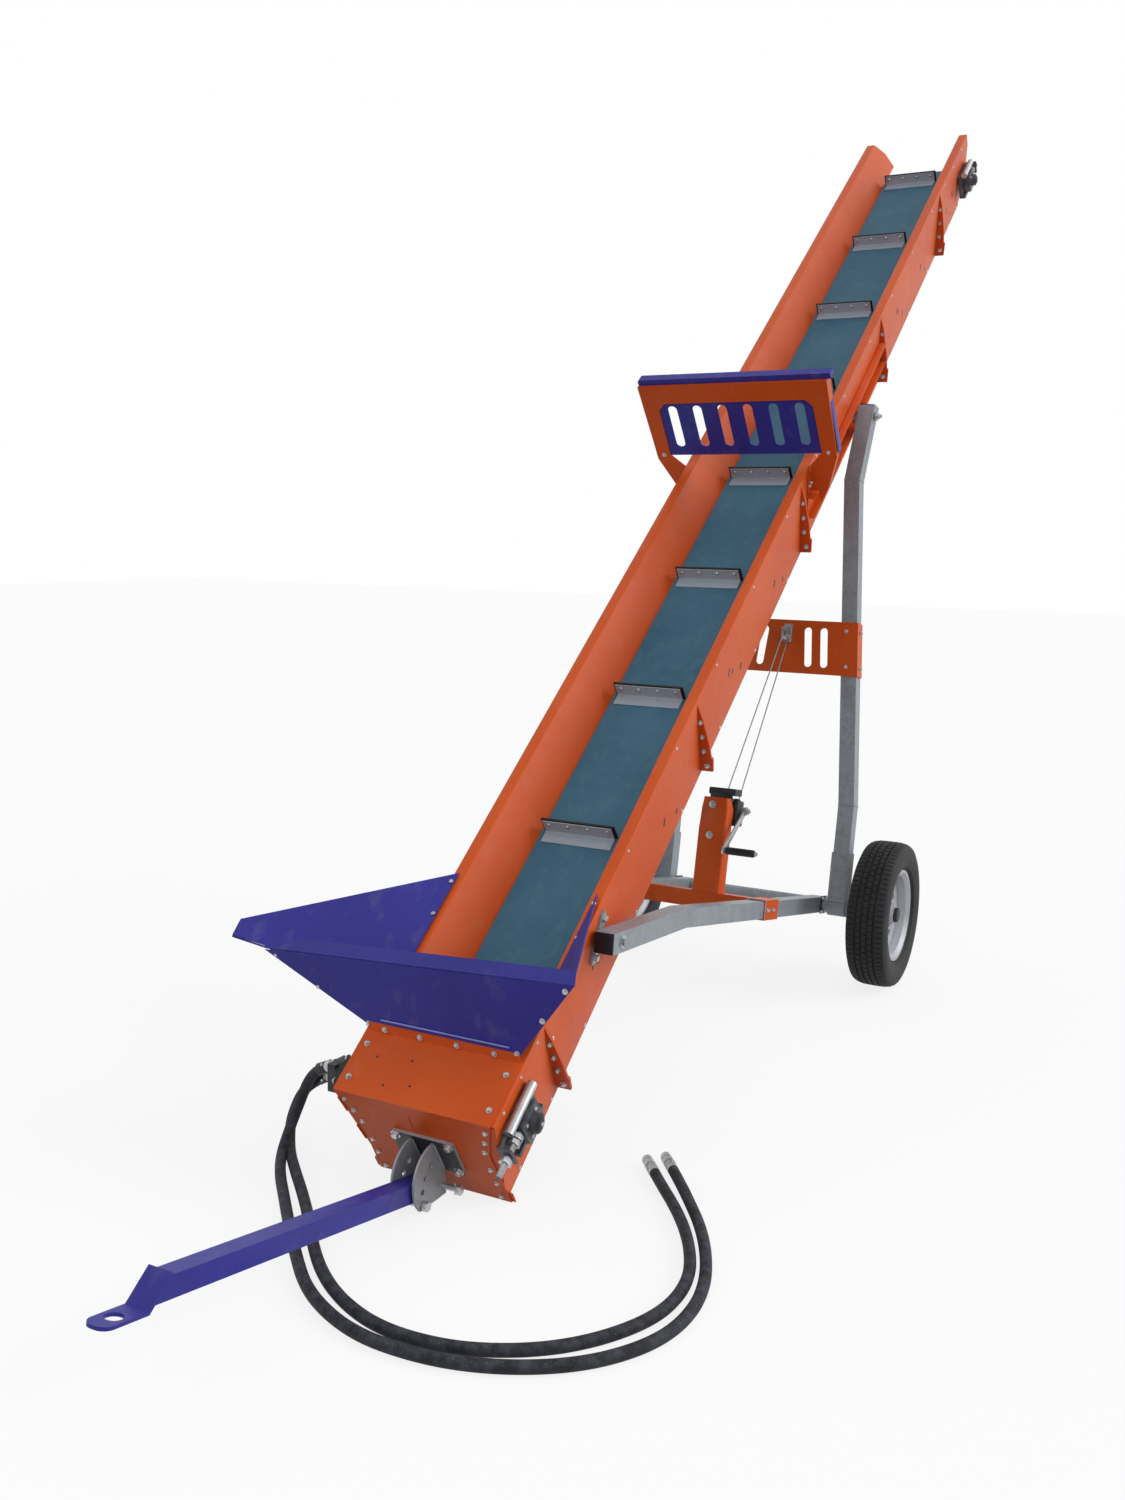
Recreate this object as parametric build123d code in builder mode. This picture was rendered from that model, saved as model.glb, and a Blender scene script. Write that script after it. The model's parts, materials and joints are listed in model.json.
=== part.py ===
from build123d import *
from math import atan2, cos, degrees, hypot, pi, radians, sin, sqrt, tan
import os

os.makedirs("parts", exist_ok=True)

# A wheeled belt conveyor for split firewood, standing as it parks: the tail
# rests on the ground, two wheels carry the rest and two struts hold the
# trough up.  X runs across the machine, Y from the drawbar towards the head,
# Z up, and the ground is z = 0.  The pieces on the trough are placed in the
# run's own frame: x across, s up the belt, n square to the belt.

# Placing
RUN_PITCH = 37.46          # slope of the belt, degrees
MID_X, MID_Y = 30.25, -60.518  # sets the origin under the middle of the machine
RUN_Y = -816.5 + MID_Y     # the run's zero point, on the belt's surface

# trough section, half of it, on the sheet's outer face
LIP_N = 135.0              # height of the side walls above the belt
CREASE_X = 246.0           # outer edge of the lip on top of a wall
LIP_X = 208.0              # inner edge of that lip
FOOT_X, FOOT_N = 191.0, -181.0   # bottom edge of the outer side sheet
BELT_GAP = 4.0             # between the belt's edge and the guide
BED_DROP = 1.0             # the belt's underside above the bed plate
SHEET = 3.0

# belt and drums
BELT_W, BELT_T = 266.0, 5.0
DRUM_R = 50.0
TAIL_S, HEAD_S = -907.0, 4460.0
TAIL_N, HEAD_N = 20.0, -(BELT_T + DRUM_R)   # the tail drum stands above the bed
KNEE_S = -500.0            # where the belt comes down onto the bed
CLEAT_COUNT = 18
CLEAT_W = 243.0
CLEAT_H = 52.0
CLEAT_RUBBER_T = 10.0
CLEAT_LEG = 48.0
CLEAT_STEEL_T = 4.0

# trough lengths: the joints between the bolted sections
END_TOP_S, END_LOW_S = -1005.0, -1042.0   # the tail's end plate leans
TROUGH_END_S = -1040.0
JOINT_S = [-690.0, 530.0, 1685.0, 2860.0, 3960.0]
TROUGH_TOP_S = 4590.0
FLANGE_OUT = 40.0          # how far a joint flange stands out at the foot
FLANGE_L = 32.0            # its return along the run
FLANGE_T = 4.0
JOINT_GAP = 0.2
HEAD_NOSE = 45.0           # the head's side sheets run on below the lip

# chassis
AXLE_Y, AXLE_Z = 731.0 + MID_Y, 280.0
AXLE_R = 27.0
PIVOT_S, PIVOT_N = -342.0, 48.0
ARM_X = 280.0
ARM_SIZE = 60.0
ARM_WALL = 4.0
ARM_NOSE = 56.0            # arm in front of its pivot
ARM_BEND = (-662.0 + MID_Y, 564.0)
PIVOT_PIN_R = 10.0
BEAM_T = 70.0
BEAM_Y = 139.0 + MID_Y

# struts
STRUT_SIZE = 62.0
STRUT_WALL = 4.0
STRUT_FOOT_X = 370.0
STRUT_KNEE_L, STRUT_KNEE_X = 400.0, 371.0
STRUT_NECK_L, STRUT_NECK_X = 1682.0, 264.0
STRUT_PIN_L, STRUT_PIN_X = 1940.0, 291.0
STRUT_TIP = 40.0
STRUT_LEAN = 10.35         # degrees from upright, towards the head
FOOT_SLEEVE_L = 210.0
ROLLER_R = 23.0
ROLLER_W = 18.0
ROLLER_GAP = 5.0           # the strut leans, so the roller stands off it

# wheels
WHEEL_X = 552.0
TYRE_R, TYRE_W = 280.0, 155.0
RIM_R = 165.0
RIM_W = 118.0


along = Vector(0, cos(radians(RUN_PITCH)), sin(radians(RUN_PITCH)))
square = Vector(0, -sin(radians(RUN_PITCH)), cos(radians(RUN_PITCH)))
# the end plate's lower edge stands on the ground
RUN_Z = -END_LOW_S * along.Z - FOOT_N * square.Z
run_zero = Vector(MID_X, RUN_Y, RUN_Z)


def on_run(x, s, n):
    """A point given in the run's frame."""
    return run_zero + Vector(x, 0, 0) + along * s + square * n


def across_run(s, n=0.0):
    """Plane square to the run: local x across, local y along n, facing the tail."""
    return Plane(origin=on_run(0, s, n), x_dir=(1, 0, 0), z_dir=along * -1)


def beside_run(x, s=0.0, n=0.0):
    """Plane beside the run: local x up the run, local y along n, facing +X."""
    return Plane(origin=on_run(x, s, n), x_dir=along, z_dir=(1, 0, 0))


def above_run(n, s=0.0):
    """Plane on the run: local x across, local y up the run, facing n."""
    return Plane(origin=on_run(0, s, n), x_dir=(1, 0, 0), z_dir=square)


def wall_x(n):
    """Half width over the outer side sheets at a height n."""
    return FOOT_X + (CREASE_X - FOOT_X) * (n - FOOT_N) / (LIP_N - FOOT_N)


BED_N = -(BELT_T + BED_DROP)
GUIDE_X = BELT_W / 2 + BELT_GAP
WALL_ANGLE = degrees(atan2(CREASE_X - FOOT_X, LIP_N - FOOT_N))


def on_wall(side, s, n, lift):
    """Plane on the outer side sheet: local x up the run, facing outwards."""
    a = radians(WALL_ANGLE)
    out = Vector(side * cos(a), 0, 0) - square * sin(a)
    return Plane(origin=on_run(side * wall_x(n), s, n) + out * lift, x_dir=along, z_dir=out)


def finish(piece, label):
    piece.part.label = label
    export_step(piece.part, f"parts/{label}.step")


# The tail's leaning end plate
HOPPER_LEAN = atan2(115, 200)     # the front wall leans forward of square
end_lean = atan2(END_TOP_S - END_LOW_S, LIP_N - FOOT_N)
end_out = square * sin(end_lean) - along * cos(end_lean)
end_plane = Plane(origin=on_run(0, END_TOP_S, LIP_N), x_dir=(1, 0, 0), z_dir=end_out)


def on_end(n):
    """Place on the leaning end plate, by its height above the belt."""
    return (n - LIP_N) / cos(end_lean)


# Trough sections
sections = [("trough_tail", TROUGH_END_S, JOINT_S[0], 0, 1)]
sections += [("trough_lower", JOINT_S[0], JOINT_S[1], 1, 1)]
sections += [("trough_middle", JOINT_S[1], JOINT_S[2], 1, 1)]
sections += [("trough_strut_bay", JOINT_S[2], JOINT_S[3], 1, 1)]
sections += [("trough_upper", JOINT_S[3], JOINT_S[4], 1, 1)]
sections += [("trough_head", JOINT_S[4], TROUGH_TOP_S, 1, 0)]

COVER_LIFT = 0.2
NOTCH_S, NOTCH_N, NOTCH_H = -1000.0, 60.0, 74.0
END_FLANGE = 34.0          # the walls' return behind the end plate
TAB_OUT, TAB_UP = 26.0, 34.0     # feet at the end plate's lower corners
RAIL_N = -33.0
RAIL_H, RAIL_D, RAIL_T = 92.0, 31.0, 4.0
RAIL_ENDS = (1760.0, 2850.0)


for name, start, end, flange_low, flange_high in sections:
    low = start + (JOINT_GAP if flange_low else 0)
    high = end - (JOINT_GAP if flange_high else 0)
    with BuildPart() as section:
        with BuildSketch(across_run(high)):
            with BuildLine():
                half = [(FOOT_X, FOOT_N), (CREASE_X, LIP_N), (LIP_X, LIP_N)]
                half += [(GUIDE_X, BED_N)]
                Polyline(*(half + [(-x, n) for x, n in reversed(half)]))
                offset(amount=SHEET, side=Side.LEFT, kind=Kind.INTERSECTION)
            make_face()
        extrude(amount=high - low)
        ends = [(low, -1)] * flange_low + [(high, 1)] * flange_high
        for s_face, way in ends:
            plane = across_run(s_face)
            with BuildSketch(plane):
                for side in (1, -1):
                    with BuildLine():
                        Polyline(
                            (side * (CREASE_X - 1.5), LIP_N - 8),
                            (side * (FOOT_X + FLANGE_OUT), FOOT_N),
                            (side * (FOOT_X - SHEET), FOOT_N),
                            close=True,
                        )
                    make_face()
                with Locations((0, FOOT_N + 8)):
                    Rectangle(2 * FOOT_X - SHEET, 16)
            extrude(amount=way * FLANGE_T)
            with BuildSketch(plane):
                for side in (1, -1):
                    with BuildLine():
                        Polyline(
                            (side * (CREASE_X - 1.5), LIP_N - 8),
                            (side * (FOOT_X + FLANGE_OUT), FOOT_N),
                            (side * (FOOT_X + FLANGE_OUT - FLANGE_T), FOOT_N),
                            (side * (CREASE_X - 8.5), LIP_N - 8 - 16),
                            close=True,
                        )
                    make_face()
            extrude(amount=way * FLANGE_L)
        # rails for the strut rollers, open outwards
        if name == "trough_strut_bay":
            with BuildSketch(across_run(RAIL_ENDS[1])):
                for side in (1, -1):
                    with Locations(Location((side * wall_x(RAIL_N), RAIL_N), -side * WALL_ANGLE)):
                        with Locations((side * RAIL_D / 2, 0)):
                            Rectangle(RAIL_D, RAIL_H)
                        with Locations((side * (RAIL_D / 2 + RAIL_T), 0)):
                            Rectangle(RAIL_D, RAIL_H - 2 * RAIL_T, mode=Mode.SUBTRACT)
            extrude(amount=RAIL_ENDS[1] - RAIL_ENDS[0])
        # room for the drums and slots for their shafts
        for s_drum, n_drum, s_open in (
            (TAIL_S, TAIL_N, TAIL_S - 200), (HEAD_S, HEAD_N, HEAD_S + 200),
        ):
            if low < s_drum < high:
                reach = DRUM_R + 12
                inner = s_drum + reach if s_open < s_drum else s_drum - reach
                with BuildSketch(above_run(BED_N + 1)):
                    with Locations((0, (inner + s_open) / 2)):
                        Rectangle(2 * (GUIDE_X - 0.5), abs(inner - s_open))
                extrude(amount=-8, mode=Mode.SUBTRACT)
                with BuildSketch(beside_run(0, s_drum, n_drum)):
                    SlotOverall(120, 40)
                extrude(amount=300, both=True, mode=Mode.SUBTRACT)
        if name == "trough_tail":
            # the sheets end at the leaning plate, with a notch for the take-up
            with BuildSketch(beside_run(0)):
                with BuildLine():
                    Polyline(
                        (END_TOP_S + COVER_LIFT + SHEET + 1, LIP_N),
                        (END_LOW_S + COVER_LIFT + SHEET + 1, FOOT_N),
                        (END_LOW_S - 5, FOOT_N - 5),
                        (END_LOW_S - 5, LIP_N + 5),
                        (END_TOP_S + COVER_LIFT + SHEET + 1, LIP_N + 5),
                        close=True,
                    )
                make_face()
                with Locations((NOTCH_S - 60, NOTCH_N)):
                    Rectangle(120, NOTCH_H)
            extrude(amount=300, both=True, mode=Mode.SUBTRACT)
            # the walls return behind the end plate, and a tab stands out at each foot
            with BuildSketch(end_plane.offset(-(SHEET + 0.3))):
                for side in (1, -1):
                    for top, foot in ((-8.0, FOOT_N + 0.5), (LIP_N - 4, NOTCH_N + NOTCH_H / 2 + 2)):
                        with BuildLine():
                            Polyline(
                                (side * (wall_x(top) - 1), on_end(top)),
                                (side * (wall_x(foot) - 1), on_end(foot)),
                                (side * (wall_x(foot) - END_FLANGE), on_end(foot)),
                                (side * (wall_x(top) - END_FLANGE), on_end(top)),
                                close=True,
                            )
                        make_face()
            extrude(amount=-SHEET)
            with BuildSketch(end_plane.offset(-(SHEET + 0.3))):
                for side in (1, -1):
                    with BuildLine():
                        Polyline(
                            (side * (FOOT_X - SHEET), on_end(FOOT_N) + 0.5),
                            (side * (FOOT_X + TAB_OUT), on_end(FOOT_N) + 0.5),
                            (side * (FOOT_X + TAB_OUT), on_end(FOOT_N + TAB_UP)),
                            (side * (FOOT_X + 2), on_end(FOOT_N + TAB_UP + 16)),
                            close=True,
                        )
                    make_face()
            extrude(amount=-SHEET - 1)
        if name == "trough_head":
            # the end of each side wall is cut to a blunt nose
            with BuildSketch(beside_run(0)):
                with BuildLine():
                    Polyline(
                        (TROUGH_TOP_S - HEAD_NOSE, LIP_N + 5),
                        (TROUGH_TOP_S - HEAD_NOSE, LIP_N - 4),
                        (TROUGH_TOP_S + 1, LIP_N - 70),
                        (TROUGH_TOP_S + 1, LIP_N + 5),
                        close=True,
                    )
                make_face()
                with BuildLine():
                    Polyline(
                        (TROUGH_TOP_S + 1, -20),
                        (TROUGH_TOP_S - 130, FOOT_N - 1),
                        (TROUGH_TOP_S + 1, FOOT_N - 1),
                        close=True,
                    )
                make_face()
            extrude(amount=300, both=True, mode=Mode.SUBTRACT)
    finish(section, name)

# Tail cover
COVER_TOP_S = -815.0
COVER_X = 236.0
COVER_FLANGE = 26.0
END_NOTCH_X, END_NOTCH_N = 197.0, 8.0
END_LOW_X = 207.0
with BuildPart() as tail_cover:
    with BuildSketch(above_run(LIP_N + COVER_LIFT)):
        with Locations((0, (END_TOP_S + COVER_TOP_S) / 2)):
            Rectangle(2 * COVER_X, COVER_TOP_S - END_TOP_S)
    extrude(amount=SHEET)
    with BuildSketch(end_plane):
        with BuildLine():
            Polyline(
                (COVER_X, COVER_LIFT + SHEET),
                (END_NOTCH_X, on_end(END_NOTCH_N)),
                (END_LOW_X, on_end(FOOT_N)),
                (-END_LOW_X, on_end(FOOT_N)),
                (-END_NOTCH_X, on_end(END_NOTCH_N)),
                (-COVER_X, COVER_LIFT + SHEET),
                close=True,
            )
        make_face()
    extrude(amount=-SHEET)
    with BuildSketch(beside_run(0, COVER_TOP_S, LIP_N + COVER_LIFT)):
        with BuildLine():
            Polyline(
                (-SHEET, 0),
                (0, 0),
                (COVER_FLANGE * sin(HOPPER_LEAN), COVER_FLANGE * cos(HOPPER_LEAN)),
                (COVER_FLANGE * sin(HOPPER_LEAN) - SHEET, COVER_FLANGE * cos(HOPPER_LEAN)),
                close=True,
            )
        make_face()
    extrude(amount=COVER_X - 2, both=True)
finish(tail_cover, "tail_cover")

# Belt with cleats
LOOP_R = DRUM_R + BELT_T
RETURN_N = HEAD_N - LOOP_R


def knee_lean(up, knee_n):
    """Angle at which a run leaves the raised tail drum towards the knee, in degrees."""
    lean = 0.1
    for _ in range(20):
        rise = TAIL_N + up * LOOP_R * cos(lean) - knee_n
        lean = atan2(rise, KNEE_S - TAIL_S - up * LOOP_R * sin(lean))
    return degrees(lean)


LEAN_TOP, LEAN_LOW = knee_lean(1, 0.0), knee_lean(-1, RETURN_N)


def on_tail(angle):
    """Point on the belt's outer face round the tail drum, degrees from its top."""
    return (TAIL_S - LOOP_R * sin(radians(angle)), TAIL_N + LOOP_R * cos(radians(angle)))


# the loop's stations: straight runs between points, and arcs given by centre and start angle
top_off, low_off = on_tail(-LEAN_TOP), on_tail(180 - LEAN_LOW)
knee_top, knee_low = (KNEE_S, 0.0), (KNEE_S, RETURN_N)
stretches = [("run", top_off, knee_top), ("run", knee_top, (HEAD_S, 0.0))]
stretches += [("turn", (HEAD_S, HEAD_N), (0.0, 180.0))]
stretches += [("run", (HEAD_S, RETURN_N), knee_low), ("run", knee_low, low_off)]
stretches += [("turn", (TAIL_S, TAIL_N), (180.0 + LEAN_LOW, 360.0 + LEAN_TOP))]


def stretch_length(kind, first, second):
    if kind == "run":
        return hypot(second[0] - first[0], second[1] - first[1])
    return radians(second[1] - second[0]) * LOOP_R


LOOP = sum(stretch_length(*stretch) for stretch in stretches)
CLEAT_PITCH = LOOP / CLEAT_COUNT


def belt_point(run):
    """Point and heading on the belt's outer face, a distance from where it leaves the tail drum."""
    run = run % LOOP
    for kind, first, second in stretches:
        length = stretch_length(kind, first, second)
        if run < length:
            break
        run -= length
    if kind == "run":
        share = run / length
        s = first[0] + (second[0] - first[0]) * share
        n = first[1] + (second[1] - first[1]) * share
        return s, n, degrees(atan2(second[1] - first[1], second[0] - first[0]))
    a = radians(second[0]) + run / LOOP_R
    return first[0] + LOOP_R * sin(a), first[1] + LOOP_R * cos(a), -degrees(a)


with BuildPart() as belt:
    with BuildSketch(beside_run(0)):
        with BuildLine():
            Polyline(top_off, knee_top, (HEAD_S, 0.0))
            ThreePointArc((HEAD_S, 0.0), (HEAD_S + LOOP_R, HEAD_N), (HEAD_S, RETURN_N))
            Polyline((HEAD_S, RETURN_N), knee_low, low_off)
            ThreePointArc(low_off, (TAIL_S - LOOP_R, TAIL_N), top_off)
        make_face()
        offset(amount=-BELT_T, kind=Kind.INTERSECTION, mode=Mode.SUBTRACT)
    extrude(amount=BELT_W / 2, both=True)
    for i in range(CLEAT_COUNT):
        s, n, turn = belt_point(-TAIL_S + i * CLEAT_PITCH + CLEAT_LEG)
        spot = Location((s, n), turn)
        with BuildSketch(beside_run(0)):
            with Locations(spot):
                with Locations((CLEAT_RUBBER_T / 2, CLEAT_H / 2 - 1)):
                    Rectangle(CLEAT_RUBBER_T, CLEAT_H + 2)
        extrude(amount=CLEAT_W / 2 + 3, both=True)
        with BuildSketch(beside_run(0)):
            with Locations(spot):
                with Locations((-CLEAT_STEEL_T / 2, CLEAT_H / 2 - 3)):
                    Rectangle(CLEAT_STEEL_T, CLEAT_H - 4)
                with Locations((-CLEAT_LEG / 2, CLEAT_STEEL_T / 2 - 0.5)):
                    Rectangle(CLEAT_LEG, CLEAT_STEEL_T + 1)
        extrude(amount=CLEAT_W / 2, both=True)
finish(belt, "belt")

# Drums and take-up units
SHAFT_R = 15.0
DRUM_W = 258.0
DRUM_FIT = 0.2
UNIT_X = 250.0             # where the bearing housings begin
HOUSING = (88.0, 84.0, 34.0)

for name, s_drum, n_drum in (("drum_tail", TAIL_S, TAIL_N), ("drum_head", HEAD_S, HEAD_N)):
    with BuildPart() as drum:
        with BuildSketch(beside_run(0, s_drum, n_drum)):
            Circle(DRUM_R - DRUM_FIT)
        extrude(amount=DRUM_W / 2, both=True)
        with BuildSketch(beside_run(0, s_drum, n_drum)):
            Circle(SHAFT_R)
        extrude(amount=UNIT_X + 22, both=True)
    finish(drum, name)

ROD_R = 8.0
ROD_UP = 14.0               # the rod above the shaft
SHAFT_FIT = 0.3
RAIL_GRIP = 14.0           # the two guide bars beside the sliding housing
GUIDE_UP = 58.0            # the round guide bar above the shaft
GUIDE_R = 13.0
PLATE_L_UNIT, PLATE_W_UNIT = 150.0, 110.0
LUG_T, LUG_W = 8.0, 56.0
# each unit: its drum, its side, the way its rod points and how far the rod runs on
takeups = [("takeup_tail_right", (TAIL_S, TAIL_N), 1, -1, 128.0)]
takeups += [("takeup_tail_left", (TAIL_S, TAIL_N), -1, -1, 40.0)]
takeups += [("takeup_head_right", (HEAD_S, HEAD_N), 1, 1, 90.0)]
takeups += [("takeup_head_left", (HEAD_S, HEAD_N), -1, 1, 90.0)]

for name, (s_drum, n_drum), side, way, rod_l in takeups:
    root = wall_x(n_drum + PLATE_W_UNIT / 2) + 0.4
    housing_x = max(UNIT_X - 12, root + 6)
    with BuildPart() as takeup:
        # base plate bolted to the wall, two guide bars, the sliding housing
        with BuildSketch(beside_run(side * root, s_drum, n_drum)):
            Rectangle(PLATE_L_UNIT, PLATE_W_UNIT)
            SlotOverall(110, 2 * SHAFT_R + 8, mode=Mode.SUBTRACT)
        extrude(amount=side * (housing_x - root))
        with BuildSketch(beside_run(side * housing_x, s_drum, n_drum)):
            for up in (1, -1):
                with Locations((0, up * 48)):
                    Rectangle(PLATE_L_UNIT, RAIL_GRIP)
        extrude(amount=side * 14)
        with BuildSketch(across_run(s_drum - 75, n_drum + GUIDE_UP)):
            with Locations((side * (housing_x + 16), 0)):
                Circle(GUIDE_R)
        extrude(amount=-PLATE_L_UNIT)
        with BuildSketch(beside_run(side * housing_x, s_drum, n_drum)):
            RectangleRounded(HOUSING[0], 82, 8)
            Circle(SHAFT_R + SHAFT_FIT, mode=Mode.SUBTRACT)
        extrude(amount=side * HOUSING[2])
        with BuildSketch(beside_run(side * (housing_x + HOUSING[2]), s_drum, n_drum)):
            Circle(26)
        extrude(amount=side * 16)
        # threaded rod with nuts through a lug on the wall
        rod_s = s_drum + way * HOUSING[0] / 2
        rod_x = side * (housing_x + 17)
        rod_n = n_drum + ROD_UP
        with BuildSketch(across_run(rod_s, rod_n)):
            with Locations((rod_x, 0)):
                Circle(ROD_R)
        extrude(amount=-way * rod_l)
        gaps = [gap for gap in (6, 22, 76) if gap + 12 < rod_l]
        for gap in gaps:
            with BuildSketch(across_run(rod_s + way * gap, rod_n)):
                with Locations((rod_x, 0)):
                    RegularPolygon(13, 6)
            extrude(amount=-way * 11)
        if rod_l > 80:
            lug_s = rod_s + way * 62
            with BuildSketch(across_run(lug_s, rod_n)):
                with Locations((side * (root + housing_x + 34) / 2, 0)):
                    Rectangle(housing_x + 34 - root, LUG_W)
            extrude(amount=-way * LUG_T)
            # the lug's foot runs back along the wall to the base plate
            with BuildSketch(across_run(lug_s, rod_n)):
                with Locations((side * (root + 3), 0)):
                    Rectangle(6, LUG_W)
            extrude(amount=lug_s - s_drum - way * (PLATE_L_UNIT / 2 - 8))
    finish(takeup, name)

# Hydraulic motor
MOTOR_R = 42.0
MOTOR_L = 46.0
MOTOR_X = max(UNIT_X - 12, wall_x(TAIL_N + PLATE_W_UNIT / 2) + 6.4) + HOUSING[2] + 16.2
BLOCK_L, BLOCK_Y, BLOCK_Z = 26.0, (-1581.0, -1482.0), (204.0, 282.0)
FITTING_R = 15.0
HOSE_R = 15.0
# each fitting: its bend beside the motor, then where its hose begins and heads
fittings = [((-350, -1541, 256), (-362, -1541, 252), (-404, -1541, 232))]
fittings += [((-372, -1510, 229), (-398, -1510, 214), (-430, -1508, 182))]
with BuildPart() as motor:
    with BuildSketch(beside_run(-MOTOR_X, TAIL_S, TAIL_N)):
        RectangleRounded(92, 92, 14)
    extrude(amount=-14)
    with BuildSketch(beside_run(-MOTOR_X - 14, TAIL_S, TAIL_N)):
        Circle(MOTOR_R)
    extrude(amount=-MOTOR_L + 14)
    # port block across the motor's end, its upper edge cut off
    block_x = MID_X - MOTOR_X - MOTOR_L + 16
    with BuildSketch(Plane.YZ.offset(block_x)):
        with BuildLine():
            low_y, high_y = (y + MID_Y for y in BLOCK_Y)
            low_z, high_z = BLOCK_Z
            Polyline(
                (low_y, low_z), (high_y, low_z), (high_y, high_z - 26),
                (high_y - 26, high_z), (low_y, high_z), close=True,
            )
        make_face()
    extrude(amount=-BLOCK_L)
    for corner, begin, ahead in fittings:
        corner = Vector(*corner) + Vector(MID_X, MID_Y)
        begin = Vector(*begin) + Vector(MID_X, MID_Y)
        ahead = Vector(*ahead) + Vector(MID_X, MID_Y)
        foot = Vector(block_x - BLOCK_L / 2, corner.Y, corner.Z)
        with BuildSketch(Plane(origin=foot, x_dir=(0, 1, 0), z_dir=(-1, 0, 0))):
            Circle(FITTING_R)
        extrude(amount=foot.X - corner.X + 6)
        out = (ahead - begin).normalized()
        with BuildSketch(Plane(origin=begin, x_dir=(0, 1, 0), z_dir=out)):
            Circle(FITTING_R - 1)
        extrude(amount=-(begin - corner).length - 4)
finish(motor, "hydraulic_motor")

# Hoses with their couplings
hose_routes = {
    "hose_outer": [
        fittings[0][1], fittings[0][2], (-446, -1542, 194), (-478, -1547, 144),
        (-498, -1560, 88), (-500, -1592, 38), (-468, -1648, 18), (-395, -1730, 16),
        (-300, -1828, 16), (-205, -1927, 16), (-100, -2032, 16), (12, -2137, 16),
        (121, -2200, 16), (232, -2236, 16), (345, -2240, 16), (466, -2222, 16),
        (590, -2172, 16), (698, -2096, 16), (772, -2002, 16), (814, -1902, 16),
        (823, -1785, 16), (801, -1667, 16), (752, -1545, 16), (690, -1432, 16),
        (618, -1330, 16), (553, -1241, 16), (502, -1176, 16),
    ],
    "hose_inner": [
        fittings[1][1], fittings[1][2], (-450, -1508, 142), (-462, -1514, 100),
        (-468, -1532, 58), (-456, -1568, 24), (-424, -1620, 16), (-358, -1698, 16),
        (-272, -1788, 16), (-180, -1880, 16), (-98, -1970, 16), (-16, -2050, 16),
        (66, -2112, 16), (152, -2158, 16), (246, -2188, 16), (345, -2192, 16),
        (452, -2172, 16), (556, -2122, 16), (644, -2052, 16), (714, -1960, 16),
        (760, -1858, 16), (772, -1760, 16), (758, -1660, 16), (718, -1562, 16),
        (662, -1464, 16), (594, -1371, 16), (522, -1286, 16), (466, -1217, 16),
    ],
}
COUPLING_L = 74.0
COUPLING_R = 15.5


def bend_radii(points):
    """The largest arcs that the runs beside each corner leave room for."""
    radii = []
    for before, here, after in zip(points, points[1:], points[2:]):
        run_in = Vector(*here) - Vector(*before)
        run_out = Vector(*after) - Vector(*here)
        turn = radians(run_in.get_angle(run_out))
        radii.append(0.45 * min(run_in.length, run_out.length) / tan(turn / 2))
    return radii


for name, route_points in hose_routes.items():
    points = [(x + MID_X, y + MID_Y, z) for x, y, z in route_points]
    radii = bend_radii(points)
    print(name, "bend radii", [round(r) for r in radii])
    with BuildPart() as hose:
        with BuildLine() as route:
            FilletPolyline(*points, radius=radii)
        with BuildSketch(Plane(origin=route.line @ 0, z_dir=route.line % 0)):
            Circle(HOSE_R)
        sweep()
    length = sum(edge.length for edge in route.edges())
    print(name, "length", round(length), "volume", round(hose.part.volume),
          "section times length", round(pi * HOSE_R ** 2 * length))
    finish(hose, name)
    tip, before = Vector(*points[-1]), Vector(*points[-2])
    way = (tip - before).normalized()
    with BuildPart() as coupling:
        with BuildSketch(Plane(origin=tip, x_dir=(0, 0, 1), z_dir=way)):
            Circle(COUPLING_R - 1)
        extrude(amount=COUPLING_L)
        with BuildSketch(Plane(origin=tip + way * 30, x_dir=(0, 0, 1), z_dir=way)):
            Circle(COUPLING_R)
        extrude(amount=24)
    finish(coupling, name.replace("hose", "coupling"))

# Hopper
HOP_S, HOP_N = -807.0, LIP_N + 8.0
FRONT_T = 3.0
hop_right = (400.0, -692.0, 344.0)
hop_left = (-569.0, -717.0, 284.0)      # where the front wall's top edge ends
wing_tip = (-671.0, -722.0, 318.0)
wing_back = (-674.0, -668.0, 326.0)
WING_TOP_S = -262.0
RIM_DEEP = 44.0            # depth of the fold along the front wall's top

front_plane = Plane(
    origin=on_run(0, HOP_S, HOP_N),
    x_dir=(1, 0, 0),
    z_dir=square * sin(HOPPER_LEAN) - along * cos(HOPPER_LEAN),
)


def in_front(x, s, n):
    spot = front_plane.to_local_coords(on_run(x, s, n))
    return (spot.X, spot.Y)


right_top = in_front(*hop_right)
left_top = in_front(*hop_left)
with BuildPart() as hopper_front:
    with BuildSketch(front_plane):
        with BuildLine():
            Polyline((228, 2), right_top, left_top, (-228, 2), close=True)
        make_face()
    extrude(amount=FRONT_T)
    rim_plane = Plane(
        origin=on_run(*hop_right),
        x_dir=on_run(*hop_left) - on_run(*hop_right),
        z_dir=(on_run(*hop_left) - on_run(*hop_right)).cross(along),
    )
    rim_l = (on_run(*hop_left) - on_run(*hop_right)).length
    with BuildSketch(rim_plane):
        with BuildLine():
            Polyline((0, 0), (rim_l - 14, 0), (rim_l - 96, RIM_DEEP), (14, RIM_DEEP), close=True)
        make_face()
    extrude(amount=FRONT_T)
finish(hopper_front, "hopper_front")


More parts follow.
